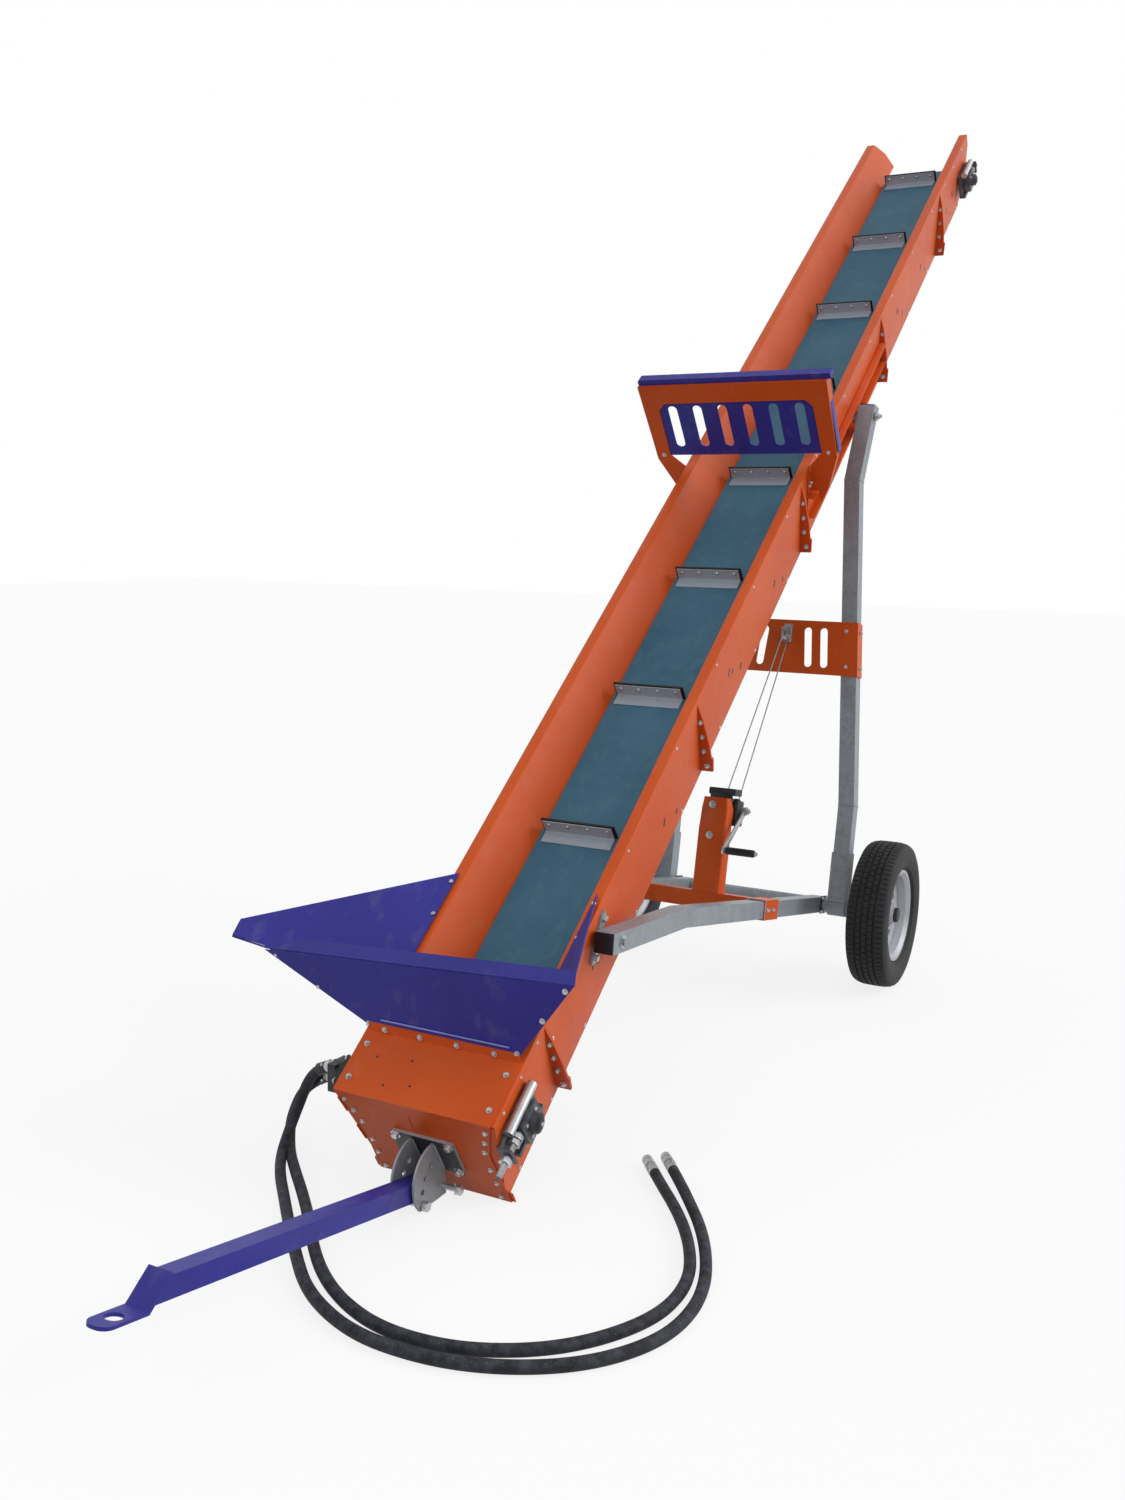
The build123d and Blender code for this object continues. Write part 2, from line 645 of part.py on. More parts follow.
def wing(points):
    """A flat sheet through points given in the run's frame."""
    spots = [on_run(*p) for p in points]
    x_dir = spots[1] - spots[0]
    normal = x_dir.cross(spots[2] - spots[0])
    if normal.Z < 0:
        normal = normal * -1
    plane = Plane(origin=spots[0], x_dir=x_dir, z_dir=normal)
    flat = [plane.to_local_coords(p) for p in spots]
    return plane, [(p.X, p.Y) for p in flat]


wing_root = HOP_S + 9
wings = [
    (
        "hopper_left_wing",
        [
            (-222, wing_root, HOP_N),
            (-226, WING_TOP_S, LIP_N + 4),
            wing_back,
            wing_tip,
            (hop_left[0] - 12, hop_left[1] + 4, hop_left[2] + 3),
        ],
    ),
    (
        "hopper_right_wing",
        [
            (222, wing_root, HOP_N),
            (226, WING_TOP_S, LIP_N + 4),
            (392, -684.0, 338.0),
        ],
    ),
]
for name, points in wings:
    plane, flat = wing(points)
    with BuildPart() as sheet:
        with BuildSketch(plane):
            with BuildLine():
                Polyline(*flat, close=True)
            make_face()
        extrude(amount=FRONT_T)
    finish(sheet, name)

# Guard over the trough
GUARD_S = 1800.0
GUARD_T = 4.0
GUARD_DEEP = 40.0          # how far its side returns run up the trough
FOOT_L, FOOT_LOW_N, FOOT_TOP_N = 46.0, 22.0, 96.0
# half outline of the frame, by distance out and height over the belt
guard_outside = [(360.0, 478.0), (352.0, 165.0), (300.0, 30.0), (262.0, -38.0)]
guard_inside = [(wall_x(FOOT_LOW_N), FOOT_LOW_N), (wall_x(126), 126.0)]
guard_inside += [(298.0, 184.0), (296.0, 376.0), (270.0, 404.0)]
GUARD_TOP_N, GUARD_TOP_X = guard_outside[0][1], guard_outside[0][0]
PANEL_LOW_N, PANEL_X = 180.0, 344.0
PANEL_SLOTS, SLOT_PITCH, SLOT_N = 6, 98.0, 303.0
rail_out = wall_x(RAIL_N + RAIL_H / 2) + RAIL_D
with BuildPart() as guard_frame:
    with BuildSketch(across_run(GUARD_S)):
        with BuildLine():
            half_outline = guard_outside + guard_inside
            Polyline(*(half_outline + [(-x, n) for x, n in reversed(half_outline)]), close=True)
        make_face()
        # the sheet is cut round the trough and stays clear of the rails
        with BuildLine():
            Polyline(
                (wall_x(LIP_N) + 2, LIP_N + 2), (wall_x(FOOT_LOW_N) + 2, FOOT_LOW_N),
                (rail_out + 6, FOOT_LOW_N - 4), (rail_out + 6, -60), (-rail_out - 6, -60),
                (-rail_out - 6, FOOT_LOW_N - 4), (-wall_x(FOOT_LOW_N) - 2, FOOT_LOW_N),
                (-wall_x(LIP_N) - 2, LIP_N + 2), close=True,
            )
        make_face(mode=Mode.SUBTRACT)
    extrude(amount=GUARD_T)
    for side in (1, -1):
        # side return along the outer edge
        with BuildSketch(across_run(GUARD_S)):
            with BuildLine():
                edge = guard_outside[:3]
                inset = [(x - GUARD_T, n) for x, n in reversed(edge)]
                Polyline(*[(side * x, n) for x, n in edge + inset], close=True)
            make_face()
        extrude(amount=-GUARD_DEEP)
        # the foot folded back along the trough's side sheet
        with BuildSketch(on_wall(side, GUARD_S, 0, 0.4)):
            with Locations((-FOOT_L / 2 + GUARD_T, side * (FOOT_LOW_N + FOOT_TOP_N) / 2)):
                Rectangle(FOOT_L, FOOT_TOP_N - FOOT_LOW_N)
        extrude(amount=4)
    with BuildSketch(above_run(GUARD_TOP_N)):
        with Locations((0, GUARD_S + GUARD_DEEP / 2 - GUARD_T / 2)):
            Rectangle(2 * GUARD_TOP_X, GUARD_DEEP + GUARD_T)
    extrude(amount=-GUARD_T)
finish(guard_frame, "guard_frame")

with BuildPart() as guard_panel:
    with BuildSketch(across_run(GUARD_S + 0.2)):
        with BuildLine():
            panel_top, panel_in = GUARD_TOP_N - GUARD_T - 2, PANEL_X - 14
            Polyline(
                (PANEL_X, panel_top), (panel_in, PANEL_LOW_N), (-panel_in, PANEL_LOW_N),
                (-PANEL_X, panel_top), close=True,
            )
        make_face()
        with GridLocations(SLOT_PITCH, 0, PANEL_SLOTS, 1):
            with Locations((0, SLOT_N)):
                SlotOverall(176, 36, rotation=90, mode=Mode.SUBTRACT)
    extrude(amount=-4)
finish(guard_panel, "guard_panel")

with BuildPart() as guard_bar:
    with BuildSketch(across_run(GUARD_S + GUARD_DEEP)):
        with Locations((8, GUARD_TOP_N + 11.3)):
            RectangleRounded(2 * GUARD_TOP_X + 12, 22, 7)
    extrude(amount=GUARD_DEEP - 6)
finish(guard_bar, "guard_bar")

# Hitch clevis and drawbar
HITCH_S, HITCH_N = -1075.0, -112.0
BAR = 50.0
CHEEK_GAP = 5.0
CHEEK_T = 6.0
BASE_T = 8.0
BASE_TOP_N, BASE_LOW_N, BASE_W = 27.0, -95.0, 192.0
BASE_BOLTS = (162.0, 100.0)
PIN_R = 8.0
PIN_REACH = 60.0
LOCK_R, LOCK_STEP = 92.0, 21.3   # the lock pin under the bar holds it up
BAR_ANGLE = 11.6           # the bar rises towards its eye
BAR_L = 1012.0
TONGUE_W, TONGUE_T = 62.0, 8.0
TONGUE_TOP, TONGUE_BEND, TONGUE_TIP = (994.0, 34.0), (1048.0, -29.0), (1162.0, -29.0)
EYE_U, EYE_R = 1107.0, 20.0
hitch = on_run(0, HITCH_S, HITCH_N)
bar_dir = Vector(0, -cos(radians(BAR_ANGLE)), sin(radians(BAR_ANGLE)))
bar_up = Vector(0, sin(radians(BAR_ANGLE)), cos(radians(BAR_ANGLE)))
cheek_x = BAR / 2 + CHEEK_GAP
hitch_side = Plane(origin=hitch, x_dir=(0, 1, 0), z_dir=(1, 0, 0))


def at_hitch(s, n):
    spot = hitch_side.to_local_coords(on_run(0, s, n))
    return (spot.X, spot.Y)


lock_angles = [180 - BAR_ANGLE + LOCK_STEP * i for i in (-2, -1, 0, 1)]
base_s = [END_TOP_S + (END_LOW_S - END_TOP_S) * (LIP_N - n) / (LIP_N - FOOT_N)
          for n in (BASE_TOP_N, BASE_LOW_N)]
with BuildPart() as clevis:
    with BuildSketch(end_plane.offset(0.1)):
        with Locations((0, on_end((BASE_TOP_N + BASE_LOW_N) / 2))):
            RectangleRounded(BASE_W, on_end(BASE_TOP_N) - on_end(BASE_LOW_N), 10)
            with GridLocations(BASE_BOLTS[0], BASE_BOLTS[1], 2, 2):
                Circle(6, mode=Mode.SUBTRACT)
    extrude(amount=BASE_T)
    for side in (1, -1):
        with BuildSketch(hitch_side.offset(side * cheek_x)):
            top = at_hitch(base_s[0] - BASE_T + 1, BASE_TOP_N - 12)
            low = at_hitch(base_s[1] - BASE_T + 1, BASE_LOW_N + 2)
            with BuildLine():
                bottom = (-102, 6 - hitch.Z)
                Polyline(bottom, (20, 6 - hitch.Z), low, top)
                ThreePointArc(top, (-130, 52), bottom)
            make_face()
            Circle(PIN_R + 0.05, mode=Mode.SUBTRACT)
            for turn in lock_angles:
                lock = (LOCK_R * cos(radians(turn)), LOCK_R * sin(radians(turn)))
                with Locations(lock):
                    Circle(PIN_R + 0.05, mode=Mode.SUBTRACT)
        extrude(amount=side * CHEEK_T)
finish(clevis, "hitch_clevis")

lock_turn = radians(lock_angles[3])
lock_at = hitch + Vector(0, cos(lock_turn), sin(lock_turn)) * LOCK_R
for name, centre, reach in (("hitch_pin", hitch, PIN_REACH), ("lock_pin", lock_at, 18.0)):
    pin_plane = Plane(origin=centre, x_dir=(0, 1, 0), z_dir=(1, 0, 0))
    face = cheek_x + CHEEK_T
    with BuildPart() as pin:
        with BuildSketch(pin_plane.offset(-face - 14)):
            Circle(PIN_R)
        extrude(amount=2 * face + 14 + reach)
        with BuildSketch(pin_plane.offset(face + reach - 13)):
            RegularPolygon(13, 6)
        extrude(amount=10)
        with BuildSketch(pin_plane.offset(-face - 11)):
            RegularPolygon(13, 6)
        extrude(amount=10)
    finish(pin, name)

bar_side = Plane(origin=hitch, x_dir=bar_dir, z_dir=(-1, 0, 0))
if bar_side.y_dir.Z < 0:
    bar_side = Plane(origin=hitch, x_dir=bar_dir, z_dir=(1, 0, 0))
slope = Vector(TONGUE_BEND[0] - TONGUE_TOP[0], TONGUE_BEND[1] - TONGUE_TOP[1]).normalized()
bend_back = Vector(slope.Y, -slope.X) * TONGUE_T
half_bar = BAR / 2


def on_cut(v):
    """Place along the bar of the plate's back face, at a height v."""
    return TONGUE_TOP[0] + bend_back.X + (v - TONGUE_TOP[1] - bend_back.Y) * slope.X / slope.Y


with BuildPart() as drawbar:
    with BuildSketch(bar_side):
        with BuildLine():
            top_line = Line((0, half_bar), (on_cut(half_bar) + 1, half_bar))
            Line(top_line @ 1, (on_cut(-half_bar) + 1, -half_bar))
            low_line = Line((on_cut(-half_bar) + 1, -half_bar), (0, -half_bar))
            ThreePointArc(low_line @ 1, (-half_bar, 0), top_line @ 0)
        make_face()
        for u in (0, LOCK_R):
            with Locations((u, 0)):
                Circle(PIN_R + 0.05, mode=Mode.SUBTRACT)
    extrude(amount=half_bar, both=True)
    # cranked tongue plate that closes the cut end and carries the eye
    with BuildSketch(bar_side):
        with BuildLine():
            lug_low = TONGUE_BEND[1] - TONGUE_T
            Polyline(
                TONGUE_TOP,
                TONGUE_BEND,
                TONGUE_TIP,
                (TONGUE_TIP[0], lug_low),
                (on_cut(lug_low), lug_low),
                (TONGUE_TOP[0] + bend_back.X, TONGUE_TOP[1] + bend_back.Y),
                close=True,
            )
        make_face()
    extrude(amount=TONGUE_W / 2, both=True)
    tip_edges = drawbar.edges().filter_by(Axis((0, 0, 0), bar_up)).sort_by(Axis(hitch, bar_dir))[-2:]
    fillet(tip_edges, radius=TONGUE_W / 2 - 5)
    eye_plane = Plane(
        origin=bar_side.from_local_coords((EYE_U, TONGUE_BEND[1], 0)),
        x_dir=(1, 0, 0),
        z_dir=bar_up,
    )
    with BuildSketch(eye_plane.offset(5)):
        Circle(EYE_R)
    extrude(amount=-TONGUE_T - 10, mode=Mode.SUBTRACT)
finish(drawbar, "drawbar")

# Pivots of the chassis on the trough
pivot = on_run(0, PIVOT_S, PIVOT_N)
EAR_L, EAR_W, EAR_T = 156.0, 42.0, 6.0
EAR_TURN = 39.3            # the ear plate stands nearly upright
EAR_LIFT = 0.3
PIVOT_FIT = 0.05
for name, side in (("pivot_plate_right", 1), ("pivot_plate_left", -1)):
    with BuildPart() as ear:
        with BuildSketch(on_wall(side, PIVOT_S, PIVOT_N, EAR_LIFT)) as ear_outline:
            SlotOverall(EAR_L, EAR_W, rotation=EAR_TURN * (1 if side > 0 else -1))
        extrude(amount=EAR_T)
        root_x = wall_x(PIVOT_N) + EAR_LIFT + 2.5
        with BuildSketch(beside_run(side * root_x, PIVOT_S, PIVOT_N)):
            Circle(PIVOT_PIN_R)
        extrude(amount=side * (ARM_X + ARM_SIZE / 2 + 10 - root_x))
    finish(ear, name)

# Chassis arms
bend = Vector(MID_X, ARM_BEND[0], ARM_BEND[1])
axle = Vector(MID_X, AXLE_Y, AXLE_Z)
front_dir = (pivot - bend).normalized()
nose = pivot + front_dir * ARM_NOSE
back_dir = (axle - bend).normalized()
ARM_TAIL = 46.0
arm_end = axle + back_dir * ARM_TAIL


def bent_tube(points, size, x_mid, hollow):
    """Side outline of a mitred square tube through three points."""
    a, b, c = points
    first = (b - a).normalized()
    second = (c - b).normalized()
    n1 = Vector(0, -first.Z, first.Y)
    n2 = Vector(0, -second.Z, second.Y)
    mitre = (n1 + n2).normalized()
    reach = 1 / mitre.dot(n1)
    half = size / 2
    top = [a + n1 * half, b + mitre * half * reach, c + n2 * half]
    low = [c - n2 * half, b - mitre * half * reach, a - n1 * half]
    return [(p.Y, p.Z) for p in top + low]


for name, side in (("arm_right", 1), ("arm_left", -1)):
    x_mid = side * ARM_X
    with BuildPart() as arm:
        with BuildSketch(Plane.YZ.offset(MID_X + x_mid)):
            with BuildLine():
                Polyline(*bent_tube((nose, bend, arm_end), ARM_SIZE, x_mid, 0), close=True)
            make_face()
            with Locations((pivot.Y, pivot.Z)):
                Circle(PIVOT_PIN_R + PIVOT_FIT, mode=Mode.SUBTRACT)
            with Locations((axle.Y, axle.Z)):
                Circle(AXLE_R + 0.1, mode=Mode.SUBTRACT)
        extrude(amount=ARM_SIZE / 2, both=True)
    finish(arm, name)

# Cross beam, winch post and winch
mid = bend + (arm_end - bend) * ((BEAM_Y - bend.Y) / (arm_end.Y - bend.Y))
arm_up = Vector(0, -back_dir.Z, back_dir.Y)
beam_plane = Plane(origin=mid, x_dir=(1, 0, 0), z_dir=back_dir)
SLEEVE_T = 5.0
SLEEVE_L = 140.0           # the sleeves reach forward of the beam
SLEEVE_BACK = 32.0
SLEEVE_GAP = 0.2
with BuildPart() as beam:
    half_in = ARM_SIZE / 2 + SLEEVE_GAP
    half_out = half_in + SLEEVE_T
    with BuildSketch(beam_plane):
        for side in (1, -1):
            with Locations((side * ARM_X, 0)):
                Rectangle(2 * half_out, 2 * half_out)
                Rectangle(2 * half_in, 2 * half_in, mode=Mode.SUBTRACT)
    extrude(amount=SLEEVE_BACK)
    with BuildSketch(beam_plane):
        for side in (1, -1):
            with Locations((side * ARM_X, 0)):
                Rectangle(2 * half_out, 2 * half_out)
                Rectangle(2 * half_in, 2 * half_in, mode=Mode.SUBTRACT)
    extrude(amount=SLEEVE_BACK - SLEEVE_L)
    with BuildSketch(beam_plane):
        Rectangle(2 * (ARM_X - half_out) + 1, ARM_SIZE)
    extrude(amount=BEAM_T / 2 - 4, both=True)
finish(beam, "cross_beam")

POST_X, POST_W, POST_D, POST_T = 55.0, 104.0, 62.0, 5.0
POST_H = 345.0
post_base = mid + Vector(POST_X, 0, 0) + arm_up * (ARM_SIZE / 2 + 0.1)
post_plane = Plane(origin=post_base, x_dir=(1, 0, 0), z_dir=arm_up)
with BuildPart() as post:
    with BuildSketch(post_plane):
        Rectangle(POST_W, POST_D)
        with Locations((0, -POST_T)):
            Rectangle(POST_W - 2 * POST_T, POST_D, mode=Mode.SUBTRACT)
    extrude(amount=POST_H)
finish(post, "winch_post")

WINCH_UP = 305.0
WINCH_OUT = 45.0
WINCH_R, WINCH_FLANGE_R = 22.0, 40.0
WINCH_IN = 78.0            # between the winch's side plates
CRANK_X, CRANK_L = 86.0, 232.0
CRANK_DROP = 27.0          # the crank's arm hangs forward, degrees below level
GRIP_L, GRIP_R = 115.0, 14.0
winch_face = Plane(
    origin=post_plane.from_local_coords((0, POST_D / 2 + 0.1, WINCH_UP)),
    x_dir=(-1, 0, 0),
    z_dir=post_plane.y_dir,
)
shaft = Plane(
    origin=winch_face.from_local_coords((0, 0, WINCH_OUT)),
    x_dir=(0, 1, 0),
    z_dir=(1, 0, 0),
)
crank_way = Vector(-cos(radians(CRANK_DROP)), -sin(radians(CRANK_DROP)))
with BuildPart() as winch:
    with BuildSketch(winch_face):
        RectangleRounded(WINCH_IN + 10, 120, 8)
    extrude(amount=5)
    for side in (1, -1):
        with BuildSketch(shaft.offset(side * WINCH_IN / 2)):
            Circle(44)
        extrude(amount=side * 5)
        with BuildSketch(winch_face):
            with Locations((side * (WINCH_IN / 2 + 2.5), 0)):
                Rectangle(5, 84)
        extrude(amount=WINCH_OUT)
    with BuildSketch(shaft.offset(-WINCH_IN / 2)):
        Circle(WINCH_R)
    extrude(amount=WINCH_IN)
    with BuildSketch(shaft.offset(WINCH_IN / 2)):
        Circle(9)
    extrude(amount=CRANK_X - WINCH_IN / 2 + 5)
    # crank arm and its grip
    with BuildSketch(shaft.offset(CRANK_X - 8)):
        with Locations(Location((crank_way.X * CRANK_L / 2, crank_way.Y * CRANK_L / 2), CRANK_DROP)):
            SlotOverall(CRANK_L + 30, 26)
    extrude(amount=8)
    with BuildSketch(shaft.offset(CRANK_X)):
        with Locations((crank_way.X * CRANK_L, crank_way.Y * CRANK_L)):
            Circle(GRIP_R)
    extrude(amount=GRIP_L)
finish(winch, "winch")

with BuildPart() as winch_cover:
    with BuildSketch(winch_face.offset(5.2)):
        with Locations((0, 64 if winch_face.y_dir.Z > 0 else -64)):
            RectangleRounded(WINCH_IN + 26, 26, 6)
    extrude(amount=68)
finish(winch_cover, "winch_cover")

# Axle
STUB_R = 20.0
with BuildPart() as axle_tube:
    with BuildSketch(Plane.YZ.offset(MID_X)):
        with Locations((AXLE_Y, AXLE_Z)):
            Circle(AXLE_R)
    extrude(amount=STRUT_FOOT_X + STRUT_SIZE / 2 + 12, both=True)
    with BuildSketch(Plane.YZ.offset(MID_X)):
        with Locations((AXLE_Y, AXLE_Z)):
            Circle(STUB_R)
    extrude(amount=WHEEL_X + 40, both=True)
finish(axle_tube, "axle")

# Wheels
HUB_FIT = 0.05
tyre_profile = [
    (RIM_R + 0.3, 50), (RIM_R + 12.5, 51), (RIM_R + 14, 66), (214, TYRE_W / 2),
    (244, TYRE_W / 2), (268, 68), (278, 50), (TYRE_R, 0),
]
tread_grooves = (-34.0, -12.0, 12.0, 34.0)
for name, side in (("right", 1), ("left", -1)):
    hub = Plane(origin=(MID_X + side * WHEEL_X, AXLE_Y, AXLE_Z), x_dir=(0, 0, 1), z_dir=(1, 0, 0))
    axis = Axis((MID_X + side * WHEEL_X, AXLE_Y, AXLE_Z), (1, 0, 0))
    profile = Plane(origin=(MID_X + side * WHEEL_X, AXLE_Y, AXLE_Z), x_dir=(1, 0, 0), z_dir=(0, -1, 0))
    with BuildPart() as tyre:
        with BuildSketch(profile):
            with BuildLine():
                pts = [(w, r) for r, w in tyre_profile]
                pts += [(-w, r) for r, w in reversed(tyre_profile[:-1])]
                Polyline(*pts, close=True)
            make_face()
            for g in tread_grooves:
                with Locations((g, TYRE_R)):
                    Rectangle(7, 14, mode=Mode.SUBTRACT)
        revolve(axis=axis)
    finish(tyre, f"tyre_{name}")
    with BuildPart() as rim:
        with BuildSketch(profile):
            with BuildLine():
                Polyline(
                    (-59, RIM_R), (-59, RIM_R + 11), (-53, RIM_R + 11), (-52, RIM_R),
                    (52, RIM_R), (53, RIM_R + 11), (59, RIM_R + 11), (59, RIM_R),
                    (46, RIM_R - 14), (20, RIM_R - 22), (-46, RIM_R - 14),
                    close=True,
                )
            make_face()
        revolve(axis=axis)
        with BuildSketch(profile):
            with BuildLine():
                pts = [(side * -8, STUB_R + HUB_FIT), (side * -8, 60), (side * 4, 90)]
                pts += [(side * 12, RIM_R - 16), (side * 18, RIM_R - 16), (side * 10, 88)]
                pts += [(side * 4, 46), (side * 42, 34), (side * 42, STUB_R + HUB_FIT)]
                Polyline(*pts, close=True)
            make_face()
        revolve(axis=axis)
        with BuildSketch(hub):
            with PolarLocations(100, 12):
                SlotOverall(30, 18, rotation=90)
        extrude(amount=60, both=True, mode=Mode.SUBTRACT)
    finish(rim, f"rim_{name}")

# Struts
lean = radians(STRUT_LEAN)
strut_plane = Plane(
    origin=(MID_X, AXLE_Y, AXLE_Z),
    x_dir=(1, 0, 0),
    z_dir=(0, -cos(lean), sin(lean)),
)
knots = [(STRUT_FOOT_X, 0.0), (STRUT_KNEE_X, STRUT_KNEE_L), (STRUT_NECK_X, STRUT_NECK_L)]
tip_x = STRUT_PIN_X + (STRUT_PIN_X - STRUT_NECK_X) * STRUT_TIP / (STRUT_PIN_L - STRUT_NECK_L)
knots += [(tip_x, STRUT_PIN_L + STRUT_TIP)]
half = STRUT_SIZE / 2
for name, side in (("strut_right", 1), ("strut_left", -1)):
    with BuildPart() as strut:
        with BuildSketch(strut_plane):
            with BuildLine():
                outer = [(side * (x + half), l) for x, l in knots]
                inner = [(side * (x - half), l) for x, l in reversed(knots)]
                Polyline(*(outer + inner), close=True)
            make_face()
        extrude(amount=half, both=True)
        # sleeve at the foot with the barrel that turns on the axle
        with BuildSketch(strut_plane):
            with BuildLine():
                out = half + 4
                Polyline(
                    (side * (STRUT_FOOT_X + out), 20),
                    (side * (STRUT_FOOT_X + out), FOOT_SLEEVE_L),
                    (side * (STRUT_FOOT_X - out), FOOT_SLEEVE_L),
                    (side * (STRUT_FOOT_X - out), 20),
                    close=True,
                )
            make_face()
        extrude(amount=out, both=True)
        with BuildSketch(Plane.YZ.offset(MID_X + side * STRUT_FOOT_X)):
            with Locations((AXLE_Y, AXLE_Z)):
                Circle(AXLE_R + 10)
        extrude(amount=STRUT_SIZE / 2 + 4, both=True)
        with BuildSketch(Plane.YZ.offset(MID_X + side * STRUT_FOOT_X)):
            with Locations((AXLE_Y, AXLE_Z)):
                Circle(AXLE_R + 0.1)
        extrude(amount=STRUT_SIZE, both=True, mode=Mode.SUBTRACT)
        pin_spot = strut_plane.from_local_coords((side * STRUT_PIN_X, STRUT_PIN_L, 0))
        with BuildSketch(Plane(origin=pin_spot, x_dir=(0, 1, 0), z_dir=(1, 0, 0))):
            Circle(10.05)
        extrude(amount=STRUT_SIZE, both=True, mode=Mode.SUBTRACT)
    finish(strut, name)
    with BuildPart() as roller:
        spot = Plane(origin=pin_spot, x_dir=(0, 1, 0), z_dir=(1, 0, 0))
        with BuildSketch(spot):
            Circle(10)
        extrude(amount=side * (half + 10))
        with BuildSketch(spot):
            Circle(10)
        extrude(amount=-side * (half + ROLLER_GAP + 1))
        with BuildSketch(spot.offset(-side * (half + ROLLER_GAP))):
            Circle(ROLLER_R)
        extrude(amount=-side * ROLLER_W)
        with BuildSketch(spot.offset(side * (half + 2.5))):
            Circle(17)
        extrude(amount=side * 8)
    finish(roller, f"roller_{'right' if side > 0 else 'left'}")

# slotted plate across the struts, with the pulley block
PLATE_L, PLATE_H = 1010.0, 212.0
share = (PLATE_L - STRUT_KNEE_L) / (STRUT_NECK_L - STRUT_KNEE_L)


def strut_x(l):
    """Middle of the strut between knee and neck, across the machine."""
    part = (l - STRUT_KNEE_L) / (STRUT_NECK_L - STRUT_KNEE_L)
    return STRUT_KNEE_X + (STRUT_NECK_X - STRUT_KNEE_X) * part


PLATE_GAP = 0.3
slot_places = (-0.245, -0.18, -0.1, -0.035, 0.155, 0.22)
with BuildPart() as cross_plate:
    low_l, high_l = PLATE_L - PLATE_H / 2, PLATE_L + PLATE_H / 2
    edge = half + PLATE_GAP
    with BuildSketch(strut_plane.offset(edge)):
        with BuildLine():
            Polyline(
                (strut_x(low_l) + edge + 5, low_l), (strut_x(high_l) + edge + 5, high_l),
                (-(strut_x(high_l) + edge + 5), high_l), (-(strut_x(low_l) + edge + 5), low_l),
                close=True,
            )
        make_face()
        for x in slot_places:
            tilt = 5.0 if x < 0 else -5.0
            with Locations(Location((1000 * x, PLATE_L), 90 - tilt)):
                SlotOverall(158, 30, mode=Mode.SUBTRACT)
    extrude(amount=5)
    for side in (1, -1):
        with BuildSketch(strut_plane.offset(edge + 5)):
            with BuildLine():
                Polyline(
                    (side * (strut_x(low_l) + edge), low_l),
                    (side * (strut_x(high_l) + edge), high_l),
                    (side * (strut_x(high_l) + edge + 5), high_l),
                    (side * (strut_x(low_l) + edge + 5), low_l),
                    close=True,
                )
            make_face()
        extrude(amount=-STRUT_SIZE - 5)
finish(cross_plate, "cross_plate")

with BuildPart() as pulley:
    block = strut_plane.offset(edge + 5.2)
    with BuildSketch(block):
        with Locations((68, PLATE_L + 52)):
            RectangleRounded(34, 74, 6)
    extrude(amount=6)
    for side in (1, -1):
        with BuildSketch(block):
            with Locations((68 + side * 11, PLATE_L + 44)):
                Rectangle(4, 56)
        extrude(amount=46)
    with BuildSketch(Plane(
        origin=block.from_local_coords((68 - 9, PLATE_L + 38, 28)),
        x_dir=block.y_dir, z_dir=(1, 0, 0),
    )):
        Circle(18)
    extrude(amount=18)
finish(pulley, "pulley_block")
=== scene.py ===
"""Dresses the wheeled firewood conveyor: paint, zinc, rubber, fasteners, hoses, ropes and stage."""
import json
import math

import bmesh
import bpy
from mathutils import Matrix, Vector


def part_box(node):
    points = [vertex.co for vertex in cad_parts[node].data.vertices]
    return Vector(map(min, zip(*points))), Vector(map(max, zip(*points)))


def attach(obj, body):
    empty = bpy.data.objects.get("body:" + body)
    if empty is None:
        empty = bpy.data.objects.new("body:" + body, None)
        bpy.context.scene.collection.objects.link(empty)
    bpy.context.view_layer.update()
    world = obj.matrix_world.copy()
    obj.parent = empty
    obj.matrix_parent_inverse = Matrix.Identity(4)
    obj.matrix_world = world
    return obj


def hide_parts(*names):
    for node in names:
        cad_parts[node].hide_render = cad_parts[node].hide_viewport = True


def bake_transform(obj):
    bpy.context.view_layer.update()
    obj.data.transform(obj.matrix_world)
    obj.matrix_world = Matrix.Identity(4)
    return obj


bl_info = {
    "name": "Firewood Conveyor",
    "version": (1, 0, 0),
    "blender": (4, 5, 0),
    "location": "3D View > Sidebar > Conveyor",
    "description": "Finishes, fasteners and loose parts of a wheeled firewood conveyor",
    "category": "Object",
}

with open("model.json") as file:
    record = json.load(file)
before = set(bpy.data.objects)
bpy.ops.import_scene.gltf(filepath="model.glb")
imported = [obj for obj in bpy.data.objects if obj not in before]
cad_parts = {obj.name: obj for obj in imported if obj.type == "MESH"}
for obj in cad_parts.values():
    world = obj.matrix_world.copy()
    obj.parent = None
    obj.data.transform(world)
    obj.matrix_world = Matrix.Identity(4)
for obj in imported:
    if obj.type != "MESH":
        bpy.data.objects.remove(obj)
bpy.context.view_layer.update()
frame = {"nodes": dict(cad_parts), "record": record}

# The run's own frame: across, up the belt, square to the belt, in metres
PITCH = math.radians(37.46)
ACROSS = Vector((1.0, 0.0, 0.0))
ALONG = Vector((0.0, math.cos(PITCH), math.sin(PITCH)))
SQUARE = Vector((0.0, -math.sin(PITCH), math.cos(PITCH)))
RUN_ZERO = Vector((0.03025, -0.877018, 0.777427))
MID_X = 0.03025

